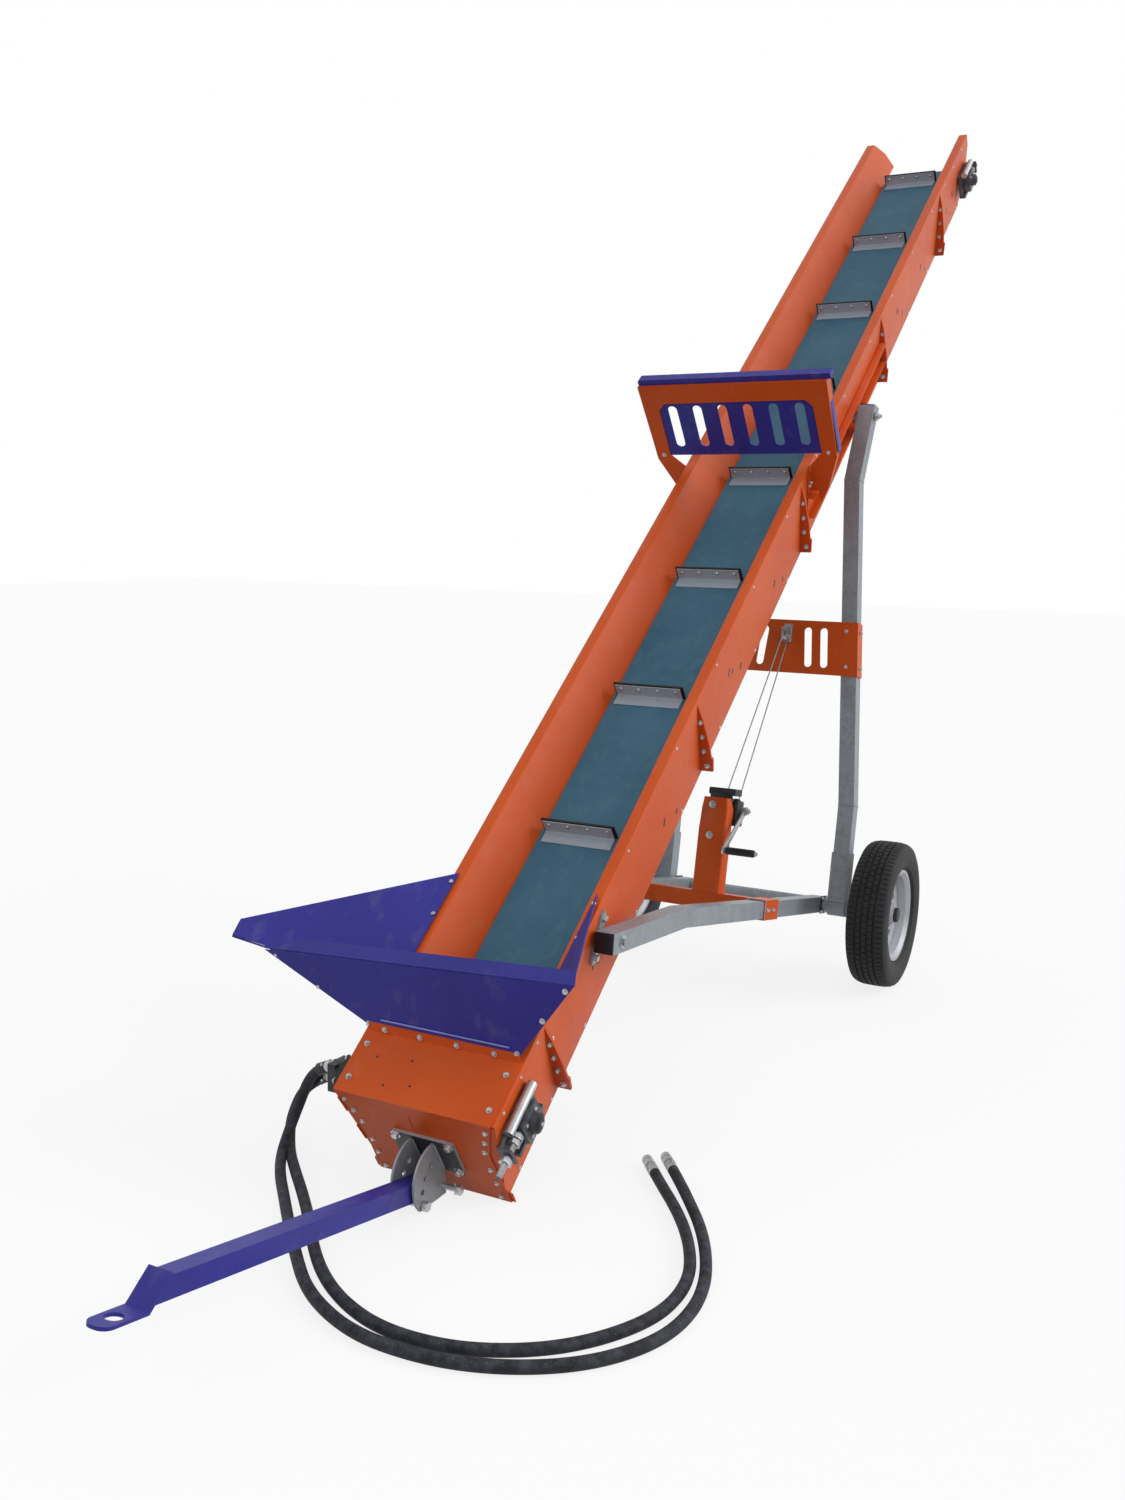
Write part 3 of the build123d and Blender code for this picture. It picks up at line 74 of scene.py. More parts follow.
# Sizes shared with the part
LIP_N = 0.135
CREASE_X, LIP_X = 0.246, 0.208
FOOT_X, FOOT_N = 0.191, -0.181
JOINTS = (-0.690, 0.530, 1.685, 2.860, 3.960)
TAIL_S, HEAD_S = -0.907, 4.460
LOOP_R = 0.055
TAIL_N, HEAD_N, KNEE_S = 0.020, -0.055, -0.500
SHEET, BED_N, GUIDE_X = 0.003, -0.006, 0.137
WALL_ANGLE = math.atan2(CREASE_X - FOOT_X, LIP_N - FOOT_N)
END_TOP_S, END_LOW_S = -1.005, -1.042
END_LEAN = math.atan2(END_TOP_S - END_LOW_S, LIP_N - FOOT_N)
END_OUT = SQUARE * math.sin(END_LEAN) - ALONG * math.cos(END_LEAN)
HOPPER_LEAN = math.atan2(0.115, 0.200)
HOPPER_OUT = SQUARE * math.sin(HOPPER_LEAN) - ALONG * math.cos(HOPPER_LEAN)
HOPPER_UP = SQUARE * math.cos(HOPPER_LEAN) + ALONG * math.sin(HOPPER_LEAN)
HOPPER_S, COVER_N, FLANGE_FACE, DRUM_R = -0.815, LIP_N + 0.0032, 0.0044, 0.0215
PIVOT_S, PIVOT_N = -0.342, 0.048
SIDES = (1, -1)
WHITE = (1.0, 1.0, 1.0, 1.0)
SUN_FROM, FILL_FROM, LIGHTS_AIM = (7.4, 3.6, 5.6), (3.0, -8.0, 5.0), (0, 0, 1.2)
AXLE = Vector((MID_X, 0.670482, 0.28))
STRUT_LEAN = math.radians(10.35)
STRUT_UP = Vector((0.0, math.sin(STRUT_LEAN), math.cos(STRUT_LEAN)))
STRUT_FACE = Vector((0.0, -math.cos(STRUT_LEAN), math.sin(STRUT_LEAN)))
BEND = Vector((MID_X, -0.722518, 0.564))
BACK = (AXLE - BEND).normalized()
ARM_UP = Vector((0.0, -BACK.z, BACK.y))
ARM_X, STRUT_X, WHEEL_X = 0.280, 0.370, 0.552
BEAM = BEND + BACK * ((0.078482 - BEND.y) / BACK.y)
POST = BEAM + ACROSS * 0.055 + ARM_UP * 0.0301
WINCH = POST + ARM_UP * 0.305 + BACK * 0.0761
PULLEY = AXLE + ACROSS * 0.068 + STRUT_UP * 1.048 + STRUT_FACE * 0.0645


def on_run(x, s, n):
    """A point given in the run's frame."""
    return RUN_ZERO + ACROSS * x + ALONG * s + SQUARE * n


def wall_x(n):
    """Half width over the side sheets at a height n."""
    return FOOT_X + (CREASE_X - FOOT_X) * (n - FOOT_N) / (LIP_N - FOOT_N)


def spot(point, outward, right=ACROSS):
    """Matrix that stands a shape on a face: local z outwards, local x near right."""
    z = Vector(outward).normalized()
    x = Vector(right) - z * Vector(right).dot(z)
    if x.length < 0.001:
        x = ALONG - z * ALONG.dot(z)
    x.normalize()
    y = z.cross(x)
    turn = Matrix((x, y, z)).transposed().to_4x4()
    return Matrix.Translation(point) @ turn


def on_wall(side, s, n, lift=0.0):
    """Matrix on an outer side sheet: local x up the run, z outwards."""
    out = ACROSS * side * math.cos(WALL_ANGLE) - SQUARE * math.sin(WALL_ANGLE)
    return spot(on_run(side * wall_x(n), s, n) + out * lift, out, ALONG)


def on_end(x, n, lift=0.0):
    """Matrix on the tail's leaning end plate."""
    s = END_TOP_S + (END_LOW_S - END_TOP_S) * (LIP_N - n) / (LIP_N - FOOT_N)
    return spot(on_run(x, s, n) + END_OUT * lift, END_OUT)


def moved(at, x=0.0, y=0.0, z=0.0):
    """A place moved in its own axes."""
    return at @ Matrix.Translation((x, y, z))


def round_about(angle):
    """Unit vector square to the cross axis, at an angle from the y axis."""
    return Vector((0, math.cos(angle), math.sin(angle)))


def srgb(red, green, blue):
    """A colour given in display values of 0 to 255, as the linear colour that nodes take."""
    linear = []
    for value in (red, green, blue):
        value = value / 255
        linear.append(value / 12.92 if value < 0.04045 else ((value + 0.055) / 1.055) ** 2.4)
    return (*linear, 1.0)


class Wire:
    """One output of a shader node. Arithmetic on it adds Math nodes."""

    def __init__(self, finish, socket):
        self.finish = finish
        self.socket = socket

    def _sum(self, operation, left, right):
        return self.finish.node("ShaderNodeMath", {"operation": operation}, {0: left, 1: right})

    def __add__(self, other):
        return self._sum("ADD", self, other)

    def __radd__(self, other):
        return self._sum("ADD", other, self)

    def __sub__(self, other):
        return self._sum("SUBTRACT", self, other)

    def __rsub__(self, other):
        return self._sum("SUBTRACT", other, self)

    def __mul__(self, other):
        return self._sum("MULTIPLY", self, other)

    def __rmul__(self, other):
        return self._sum("MULTIPLY", other, self)


class Finish:
    """A material while its nodes are put together."""

    def __init__(self, name):
        self.material = bpy.data.materials.new(name)
        self.material.use_nodes = True
        self.tree = self.material.node_tree
        self.tree.nodes.clear()

    def node(self, kind, settings=None, inputs=None, out=0):
        """Adds a node: its settings first, then values or links for its sockets."""
        made = self.tree.nodes.new(kind)
        for key, value in (settings or {}).items():
            if key == "stops":
                ramp = made.color_ramp
                while len(ramp.elements) < len(value):
                    ramp.elements.new(0.5)
                for element, (place, colour) in zip(ramp.elements, value):
                    element.position = place
                    element.color = colour
            else:
                setattr(made, key, value)
        for key, value in (inputs or {}).items():
            if isinstance(value, Wire):
                self.tree.links.new(value.socket, made.inputs[key])
            else:
                made.inputs[key].default_value = value
        return Wire(self, made.outputs[out])

    def place(self, scale=(1, 1, 1), turn=(0, 0, 0)):
        """Object coordinates, turned and stretched."""
        at = self.node("ShaderNodeTexCoord", out=3)
        return self.node("ShaderNodeMapping", None, {0: at, 2: turn, 3: scale})

    def noise(self, at, scale, detail=3.0, rough=0.5):
        return self.node("ShaderNodeTexNoise", None,
                         {"Vector": at, "Scale": scale, "Detail": detail, "Roughness": rough})

    def cells(self, at, scale, out=1):
        return self.node("ShaderNodeTexVoronoi", None, {"Vector": at, "Scale": scale}, out=out)

    def ramp(self, value, *stops):
        """A mask or colour from a value: stops are (place, grey or colour)."""
        full = [(p, c if isinstance(c, tuple) else (c, c, c, 1.0)) for p, c in stops]
        return self.node("ShaderNodeValToRGB", {"stops": full}, {0: value})

    def mix(self, share, first, second):
        """Colour between two, by a share of 0 to 1."""
        return self.node("ShaderNodeMix", {"data_type": "RGBA"}, {0: share, 6: first, 7: second}, out=2)

    def bump(self, height, strength, distance=0.001, normal=None):
        inputs = {"Height": height, "Strength": strength, "Distance": distance}
        if normal:
            inputs["Normal"] = normal
        return self.node("ShaderNodeBump", None, inputs)

    def surface(self, **sockets):
        """Ends the material in a Principled shader."""
        inputs = {key.replace("_", " "): value for key, value in sockets.items()}
        shader = self.node("ShaderNodeBsdfPrincipled", None, inputs)
        end = self.tree.nodes.new("ShaderNodeOutputMaterial")
        self.tree.links.new(shader.socket, end.inputs[0])
        return self.material


def powder_coat(name, colour, shade, chip):
    """Powder coat over sheet steel: fine orange peel, handling marks, a little dust."""
    f = Finish(name)
    at = f.place()
    broad = f.noise(at, 3.0, 4.0)
    fine = f.noise(at, 420.0, 2.0)
    drawn = f.noise(f.place((2.0, 1.2, 1.2), (PITCH, 0, 0)), 9.0, 6.0, 0.62)
    tone = f.mix(f.ramp(broad, (0.32, 0.0), (0.7, 1.0)), colour, shade)
    scuff = f.ramp(f.noise(f.place((60.0, 3.0, 60.0), (-PITCH, 0, 0)), 1.6, 8.0, 0.7),
                   (0.62, 0.0), (0.68, 1.0))
    worn = scuff * f.ramp(drawn, (0.54, 0.0), (0.7, 1.0)) * 0.14
    speck = f.ramp(f.cells(at, 150.0, out=0), (0.035, 1.0), (0.06, 0.0))
    speck = speck * f.ramp(drawn, (0.56, 0.0), (0.6, 1.0))
    dusty = f.mix(f.ramp(drawn, (0.55, 0.0), (0.85, 0.12)), tone, srgb(196, 176, 158))
    marked = f.mix(worn, dusty, chip)
    chipped = f.mix(speck * 0.6, marked, srgb(92, 66, 52))
    rough = 0.36 + f.noise(at, 26.0, 5.0) * 0.14 + worn * 0.25
    return f.surface(Base_Color=chipped, Roughness=rough, Normal=f.bump(fine, 0.12, 0.0006),
                     Specular_IOR_Level=0.22)


def zinc_dip(name, light, dark, grain, rough, metal=0.3):
    """Hot-dip zinc: crystals of several greys, runs and dull patches."""
    f = Finish(name)
    at = f.place()
    crystal = f.cells(f.node("ShaderNodeVectorMath", {"operation": "ADD"},
                             {0: at, 1: f.noise(at, 30.0, 2.0)}), grain)
    grey = f.node("ShaderNodeSeparateColor", None, {0: crystal})
    cloud = f.noise(at, 7.0, 6.0, 0.6)
    runs = f.noise(f.place((55.0, 55.0, 4.0)), 1.0, 5.0, 0.6)
    tone = f.mix(grey * 0.45 + cloud * 0.55, dark, light)
    streak = f.mix(f.ramp(runs, (0.5, 0.0), (0.84, 0.16)), tone, srgb(206, 208, 209))
    dull = f.mix(f.ramp(cloud, (0.56, 0.0), (0.74, 0.45)), streak, srgb(104, 104, 103))
    return f.surface(Base_Color=dull, Metallic=metal, Roughness=rough + grey * 0.16 + cloud * 0.12,
                     Normal=f.bump(cloud + grey * 0.12, 0.16, 0.002))


def bright_zinc(name, colour, shade, rough):
    """Plated or bare bright steel, slightly brushed."""
    f = Finish(name)
    at = f.place()
    lines = f.noise(f.place((900.0, 60.0, 60.0), (-PITCH, 0, 0)), 1.0, 3.0)
    cloud = f.noise(at, 18.0, 5.0)
    tone = f.mix(f.ramp(cloud, (0.35, 0.0), (0.72, 1.0)), colour, shade)
    lined = f.mix(f.ramp(lines, (0.3, 0.0), (0.8, 0.4)), tone, srgb(226, 226, 228))
    return f.surface(Base_Color=lined, Metallic=0.8, Roughness=rough + lines * 0.14 + cloud * 0.1,
                     Normal=f.bump(lines, 0.06, 0.0006))


def belt_cover(name):
    """Petrol-coloured belt cover: fabric print, drag marks along the run and pale wood dust."""
    f = Finish(name)
    run = f.place((1, 1, 1), (-PITCH, 0, 0))
    warp = f.node("ShaderNodeTexWave", {"bands_direction": "X"},
                  {"Vector": run, "Scale": 190.0, "Distortion": 1.5, "Detail": 2.0})
    weft = f.node("ShaderNodeTexWave", {"bands_direction": "Y"},
                  {"Vector": run, "Scale": 150.0, "Distortion": 1.5, "Detail": 2.0})
    drag = f.noise(f.place((26.0, 1.1, 26.0), (-PITCH, 0, 0)), 1.0, 7.0, 0.62)
    cloud = f.noise(run, 4.0, 5.0)
    tone = f.mix(f.ramp(cloud, (0.3, 0.0), (0.72, 1.0)), srgb(44, 96, 120), srgb(62, 110, 132))
    dragged = f.mix(f.ramp(drag, (0.5, 0.0), (0.82, 0.55)), tone, srgb(92, 128, 140))
    dust = f.mix(f.ramp(f.noise(run, 60.0, 6.0, 0.7), (0.62, 0.0), (0.74, 0.2)), dragged,
                 srgb(150, 152, 140))
    return f.surface(Base_Color=dust, Roughness=0.5 + drag * 0.2,
                     Normal=f.bump(warp * 0.5 + weft * 0.5, 0.25, 0.0003), Specular_IOR_Level=0.35)


def rubber(name, colour, worn, grain=160.0, rough=0.62):
    """Black rubber, greyed where it is rubbed."""
    f = Finish(name)
    at = f.place()
    cloud = f.noise(at, 9.0, 6.0, 0.6)
    fine = f.noise(at, grain, 4.0)
    tone = f.mix(f.ramp(cloud, (0.42, 0.0), (0.8, 0.8)), colour, worn)
    return f.surface(Base_Color=tone, Roughness=rough + cloud * 0.16,
                     Normal=f.bump(fine, 0.2, 0.0005), Specular_IOR_Level=0.3)


def casting(name, colour, edge):
    """Dark painted casting with a sandy skin."""
    f = Finish(name)
    at = f.place()
    sand = f.noise(at, 260.0, 5.0, 0.6)
    cloud = f.noise(at, 24.0, 5.0)
    tone = f.mix(f.ramp(cloud, (0.45, 0.0), (0.7, 1.0)), colour, edge)
    return f.surface(Base_Color=tone, Metallic=0.25, Roughness=0.42 + cloud * 0.2,
                     Normal=f.bump(sand, 0.3, 0.0008))


def sleeve(name):
    """Woven protective sleeve on the hoses, slightly wrinkled and dusty."""
    f = Finish(name)
    at = f.place()
    weave = f.cells(at, 620.0, out=0)
    folds = f.noise(f.place((1, 1, 1)), 34.0, 4.0, 0.55)
    # the colour follows the wrinkles' bump: painted shade in their hollows, painted highlight on their
    # ridges
    tone = f.mix(f.ramp(folds, (0.38, 0.0), (0.74, 1.0)), srgb(26, 27, 31), srgb(66, 68, 76))
    lint = f.mix(f.ramp(f.noise(at, 240.0, 3.0), (0.62, 0.0), (0.7, 0.35)), tone, srgb(120, 122, 126))
    threads = f.bump(weave, 0.35, 0.0006)
    return f.surface(Base_Color=lint, Roughness=0.66 + folds * 0.15,
                     Normal=f.bump(folds, 0.45, 0.004, threads), Specular_IOR_Level=0.32)


def wire_rope(name):
    """Galvanised wire rope: strands wound round its length."""
    f = Finish(name)
    lay = f.node("ShaderNodeTexWave", {"bands_direction": "DIAGONAL"},
                 {"Vector": f.place(), "Scale": 260.0, "Distortion": 0.5})
    # the colour follows the strands' bump: painted shade between the strands, painted highlight on their
    # crowns
    tone = f.mix(lay, srgb(104, 105, 108), srgb(186, 188, 190))
    return f.surface(Base_Color=tone, Metallic=0.6, Roughness=0.42 + lay * 0.1,
                     Normal=f.bump(lay, 0.5, 0.0006))


def make_piece(name, bm, material, body, sharp=32.0):
    """Closes a bmesh into a piece that rides on a body, with its faces pointing outwards."""
    bmesh.ops.remove_doubles(bm, verts=bm.verts, dist=0.00002)
    bmesh.ops.recalc_face_normals(bm, faces=bm.faces)
    mesh = bpy.data.meshes.new(name)
    bm.to_mesh(mesh)
    bm.free()
    mesh.shade_smooth()
    mesh.set_sharp_from_angle(angle=math.radians(sharp))
    piece = bpy.data.objects.new(name, mesh)
    bpy.context.scene.collection.objects.link(piece)
    mesh.materials.append(material)
    if body:
        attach(piece, body)
    return piece


def add_piece(name, bm, finish, body="conveyor", replaces=None, sharp=32.0):
    """Adds a piece in a finish and its slot, in place of a node of the frame where one is named."""
    piece = make_piece(name, bm, bpy.data.materials[finish], body, sharp)
    if replaces:
        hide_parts(replaces)
    return piece


def refinish(node, finish):
    """Gives a node of the frame another finish."""
    materials = frame["nodes"][node].data.materials
    materials.clear()
    materials.append(bpy.data.materials[finish])


def pour(work, bm):
    """Adds one bmesh to another and frees it."""
    mesh = bpy.data.meshes.new("work")
    work.to_mesh(mesh)
    work.free()
    bm.from_mesh(mesh)
    bpy.data.meshes.remove(mesh)


def ease(bm, edges, offset, segments=2):
    """Rounds edges, and gives the vertices of the rounding."""
    return bmesh.ops.bevel(bm, geom=edges, offset=offset, segments=segments, profile=0.5,
                           affect="EDGES", material=-1)["verts"]


def folds_along(bm, way, least):
    """Edges between two faces that run along a direction."""
    return [e for e in bm.edges if len(e.link_faces) == 2
            and abs((e.verts[0].co - e.verts[1].co).normalized().dot(way)) > least]


def split(made):
    """Vertices and edges of what an operator made."""
    return ([g for g in made if isinstance(g, bmesh.types.BMVert)],
            [g for g in made if isinstance(g, bmesh.types.BMEdge)])


def draw_out(bm, edges, step):
    """Extrudes edges by a step, and gives the new vertices and edges."""
    verts, edges = split(bmesh.ops.extrude_edge_only(bm, edges=edges)["geom"])
    bmesh.ops.translate(bm, verts=verts, vec=step)
    return verts, edges


def slab(bm, corners, step):
    """A flat plate from its corners, as thick as a step."""
    face = bm.faces.new([bm.verts.new(corner) for corner in corners])
    verts, _ = split(bmesh.ops.extrude_face_region(bm, geom=[face])["geom"])
    bmesh.ops.translate(bm, verts=verts, vec=step)


def join(bm, made, matrix):
    """Moves what was just made in local coordinates to its place."""
    bmesh.ops.transform(bm, matrix=matrix, verts=made)
    return made


def disc(bm, at, radius, tall, sides=20, top=None, rim=0.0):
    """A short round or sided body standing on a face, its upper rim eased."""
    made = bmesh.ops.create_cone(bm, cap_ends=True, segments=sides, radius1=radius,
                                 radius2=radius if top is None else top, depth=tall)["verts"]
    bmesh.ops.translate(bm, verts=made, vec=(0, 0, tall / 2))
    if rim:
        high = [v for v in made if v.co.z > tall * 0.9]
        edges = {e for v in high for e in v.link_edges if e.other_vert(v) in high}
        eased = ease(bm, list(edges), rim)
        made = list({*[v for v in made if v.is_valid], *eased})
    return join(bm, made, at)


def stepped(bm, at, steps):
    """Discs on one axis, each given as its place, height, radius, sides and eased rim."""
    for z, tall, radius, sides, rim in steps:
        disc(bm, moved(at, z=z), radius, tall, sides, rim=rim)


def hex_bolt(bm, at, across=0.013, tall=0.0075, washer=True, stud=0.0):
    """A hexagon head on its washer, with the end of the thread where it shows."""
    base = 0.0
    if washer:
        disc(bm, at, across * 0.86, 0.0018, 18)
        base = 0.0016
    up = moved(at, z=base)
    disc(bm, up, across / math.sqrt(3), tall, 6, rim=across * 0.07)
    if stud:
        disc(bm, up, across * 0.3, tall + stud, 10, rim=across * 0.05)


def dome_bolt(bm, at, radius=0.007, tall=0.0045):
    """A low round head."""
    made = bmesh.ops.create_uvsphere(bm, u_segments=12, v_segments=6, radius=radius)["verts"]
    low = [v for v in made if v.co.z < -radius * 0.01]
    bmesh.ops.delete(bm, geom=low, context="VERTS")
    made = [v for v in made if v.is_valid]
    bmesh.ops.scale(bm, verts=made, vec=(1, 1, tall / radius))
    join(bm, made, at)


def bar(bm, at, size, rim=0.0):
    """A squared block centred on a place, its edges eased."""
    made = bmesh.ops.create_cube(bm, size=1.0)["verts"]
    bmesh.ops.scale(bm, verts=made, vec=size)
    if rim:
        made = ease(bm, list({e for v in made for e in v.link_edges}), rim)
    return join(bm, made, at)


def rod(bm, start, end, radius, sides=12, steps=1):
    """A round rod between two points, in a number of equal steps."""
    way = Vector(end) - Vector(start)
    at = spot(Vector(start), way, (0.31, 0.22, 0.93))
    ring = bmesh.ops.create_circle(bm, cap_ends=True, segments=sides, radius=radius, matrix=at)["verts"]
    edges = list({e for v in ring for e in v.link_edges})
    for _ in range(steps):
        _, edges = draw_out(bm, edges, way / steps)
    bmesh.ops.contextual_create(bm, geom=edges)


def bead(bm, points, radius=0.0035):
    """A weld bead: short overlapping scales from point to point."""
    for start, end in zip(points, points[1:]):
        start, end = Vector(start), Vector(end)
        count = max(1, int((end - start).length / (radius * 1.7)))
        for i in range(count):
            at = spot(start.lerp(end, (i + 0.5) / count), end - start, (0.3, 0.2, 0.9))
            made = bmesh.ops.create_icosphere(bm, subdivisions=1, radius=radius)["verts"]
            bmesh.ops.scale(bm, verts=made, vec=(1.0, 1.0, 1.25))
            join(bm, made, at)


def square_bead(bm, centre, right, up, half, radius):
    """A weld bead round a square tube."""
    corners = ((-1, 1), (1, 1), (1, -1), (-1, -1), (-1, 1))
    bead(bm, [centre + (right * a + up * b) * half for a, b in corners], radius)


def length(name, description, default):
    """A length that a user can change."""
    return bpy.props.FloatProperty(name=name, description=description, default=default,
                                   unit="LENGTH", subtype="DISTANCE")


def paint(name, description, default):
    """A colour that a user can change."""
    return bpy.props.FloatVectorProperty(name=name, description=description, default=default,
                                         subtype="COLOR", size=4, min=0.0, max=1.0)


class ConveyorSizes(bpy.types.PropertyGroup):
    """Sizes that a user would change."""

    cleats: bpy.props.IntProperty(
        name="Cleats", description="Cleats on the whole belt loop", default=18, min=4, max=40)
    cleat_plate: length("Cleat plate", "Height of a cleat's steel plate over the belt", 0.047)
    bolt: length("Bolt", "Width across flats of the common bolts", 0.0095)
    hose: length("Hose", "Outer diameter of the hoses in their sleeves", 0.030)
    rope: length("Rope", "Diameter of the winch rope", 0.005)
    tread: length("Tread depth", "Depth of the tyres' pattern", 0.006)


class ConveyorColours(bpy.types.PropertyGroup):
    """Colours that a user would change."""

    orange: paint("Orange coat", "Powder coat of the trough", srgb(212, 87, 24))
    blue: paint("Blue coat", "Powder coat of hopper, guard and drawbar", srgb(54, 52, 144))
    floor: paint("Floor", "Colour of the studio floor", (0.88, 0.88, 0.89, 1.0))


class CONVEYOR_OT_camera(bpy.types.Operator):
    """Sets the camera at the photograph's viewing angle"""

    bl_idname = "conveyor.camera"
    bl_label = "Camera"

    def execute(self, context):
        data = bpy.data.cameras.new("view_camera")
        data.sensor_fit = "VERTICAL"
        data.sensor_height = 36.0
        data.lens = 33.28
        data.clip_end = 100.0
        camera = bpy.data.objects.new("view_camera", data)
        right, up = Vector((0.8824, 0.4703, 0.0162)), Vector((-0.0875, 0.1303, 0.9876))
        turn = Matrix((right, up, right.cross(up))).transposed().to_4x4()
        camera.matrix_world = Matrix.Translation((1.9118, -4.5171, 1.7219)) @ turn
        context.scene.collection.objects.link(camera)
        context.scene.camera = camera
        return {"FINISHED"}


HOSE_SHIFT = Vector((30.25, -60.518, 0.0))
HOSE_OUTER = (
    (-378, -1541, 254), (-414, -1541, 238), (-446, -1542, 198), (-466, -1547, 146),
    (-484, -1560, 88), (-486, -1592, 38), (-458, -1648, 18), (-395, -1730, 16),
    (-300, -1828, 16), (-205, -1927, 16), (-100, -2032, 16), (12, -2137, 16),
    (121, -2200, 16), (232, -2236, 16), (345, -2240, 16), (466, -2222, 16),
    (590, -2172, 16), (698, -2096, 16), (772, -2002, 16), (814, -1902, 16),
    (823, -1785, 16), (801, -1667, 16), (752, -1545, 16), (690, -1432, 16),
    (618, -1330, 16), (553, -1241, 16), (502, -1176, 16),
)
HOSE_INNER = (
    (-404, -1510, 212), (-452, -1508, 184), (-492, -1508, 146), (-513, -1514, 102),
    (-518, -1532, 58), (-494, -1566, 26), (-448, -1620, 16), (-366, -1700, 16),
    (-272, -1788, 16), (-180, -1880, 16), (-98, -1970, 16), (-16, -2050, 16),
    (66, -2112, 16), (152, -2158, 16), (246, -2188, 16), (345, -2192, 16),
    (452, -2172, 16), (556, -2122, 16), (644, -2052, 16), (714, -1960, 16),
    (760, -1858, 16), (772, -1760, 16), (758, -1660, 16), (718, -1562, 16),
    (662, -1464, 16), (594, -1371, 16), (522, -1286, 16), (466, -1217, 16),
)


def hose_place(point):
    """A point of a hose's route, in metres."""
    return (Vector(point) + HOSE_SHIFT) / 1000


class CONVEYOR_OT_hoses(bpy.types.Operator):
    """Lays the two hydraulic hoses from the motor over the floor, each to its coupling"""

    bl_idname = "conveyor.hoses"
    bl_label = "Hydraulic hoses"

    def execute(self, context):
        size = context.scene.conveyor_sizes
        cover = sleeve("hose_sleeve")
        for name, route, length in (("outer", HOSE_OUTER, 2.812), ("inner", HOSE_INNER, 2.573)):
            curve = bpy.data.curves.new(f"hose_{name}_line", "CURVE")
            curve.dimensions = "3D"
            curve.resolution_u = 10
            curve.bevel_depth = size.hose / 2
            curve.bevel_resolution = 6
            curve.use_fill_caps = True
            line = curve.splines.new("NURBS")
            line.points.add(len(route) - 1)
            for point, place in zip(line.points, route):
                point.co = (*hose_place(place), 1.0)
            line.order_u = 3
            line.use_endpoint_u = True
            curve.materials.append(cover)
            hose = bpy.data.objects.new(f"sleeved_hose_{name}", curve)
            context.scene.collection.objects.link(hose)
            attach(hose, "conveyor")
            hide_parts(f"hose_{name}")
            tip = self.coupling(name, route)
        return {"FINISHED"}

    def coupling(self, name, route):
        """The bright quick coupling on a hose's end: ferrule, hexagon, knurled ring and nose."""
        end, before = hose_place(route[-1]), hose_place(route[-2])
        at = spot(end, end - before, (0, 0, 1))
        bm = bmesh.new()
        stepped(bm, at, ((-0.012, 0.034, 0.0152, 24, 0.001), (0.018, 0.012, 0.0150, 6, 0.001),
                         (0.029, 0.022, 0.0154, 32, 0.0012), (0.050, 0.008, 0.0128, 24, 0.001),
                         (0.056, 0.018, 0.0148, 28, 0.002), (0.001, 0.003, 0.0156, 24, 0.001),
                         (0.008, 0.003, 0.0156, 24, 0.001), (0.015, 0.003, 0.0156, 24, 0.001)))
        return add_piece(f"quick_coupling_{name}", bm, "plated_steel", replaces=f"coupling_{name}")


class CONVEYOR_OT_finishes(bpy.types.Operator):
    """Makes the materials and puts them on the parts of the frame"""

    bl_idname = "conveyor.finishes"
    bl_label = "Finishes"

    def execute(self, context):
        colours = context.scene.conveyor_colours
        orange, blue = tuple(colours.orange), tuple(colours.blue)
        by_slot = {
            "orange_paint": powder_coat("orange_coat", orange, srgb(202, 76, 18), srgb(222, 134, 88)),
            "blue_paint": powder_coat("blue_coat", blue, srgb(48, 44, 128), srgb(104, 110, 176)),
            "galvanised": zinc_dip("dipped_zinc", srgb(164, 171, 177), srgb(112, 119, 125), 34.0, 0.32),
            "bright_steel": bright_zinc("plated_steel", srgb(188, 190, 192), srgb(150, 150, 150), 0.26),
            "dark_casting": casting("black_casting", srgb(34, 35, 37), srgb(58, 59, 61)),
            "grey_plastic": rubber("grey_cover", srgb(46, 48, 50), srgb(70, 72, 74), 420.0, 0.45),
            "tyre": rubber("tyre_rubber", srgb(36, 36, 38), srgb(58, 58, 58)),
            "rim": zinc_dip("rim_silver", srgb(190, 192, 196), srgb(160, 162, 166), 90.0, 0.36),
            "belt": belt_cover("belt_cover"),
            "hose": rubber("hose_rubber", srgb(28, 28, 30), srgb(50, 50, 52)),
        }
        rubber("black_plastic", srgb(22, 22, 24), srgb(48, 48, 50), 500.0, 0.4)
        zinc_dip("cleat_steel", srgb(172, 184, 194), srgb(140, 152, 162), 120.0, 0.34, 0.05)
        # pale blue for the hopper's pressed line: a painted highlight on its bent edge
        powder_coat("highlight_blue", srgb(150, 156, 212), srgb(122, 128, 192), srgb(190, 194, 224))
        wire_rope("wire_rope")
        zinc_dip("dark_zinc", srgb(178, 181, 184), srgb(134, 136, 139), 60.0, 0.38, 0.15)
        casting("dark_steel", srgb(74, 76, 80), srgb(112, 114, 118))
        for sub in frame["record"]["subparts"]:
            refinish(sub["node"], by_slot[sub["material_slot"]].name)
        return {"FINISHED"}


def knee_lean(up, knee_n):
    """Angle at which a run leaves the raised tail drum towards the knee."""
    lean = 0.1
    for _ in range(20):
        rise = TAIL_N + up * LOOP_R * math.cos(lean) - knee_n
        lean = math.atan2(rise, KNEE_S - TAIL_S - up * LOOP_R * math.sin(lean))
    return lean


BELT_HALF, BELT_THICK, CLEAT_HALF = 0.133, 0.0048, 0.1215
FIRST_CLEAT = 0.048 - TAIL_S
RETURN_N = HEAD_N - LOOP_R
LEAN_TOP, LEAN_LOW = knee_lean(1, 0.0), knee_lean(-1, RETURN_N)


def on_tail(angle):
    """Place on the belt's outer face round the tail drum, by the angle from its top."""
    return (TAIL_S - LOOP_R * math.sin(angle), TAIL_N + LOOP_R * math.cos(angle))


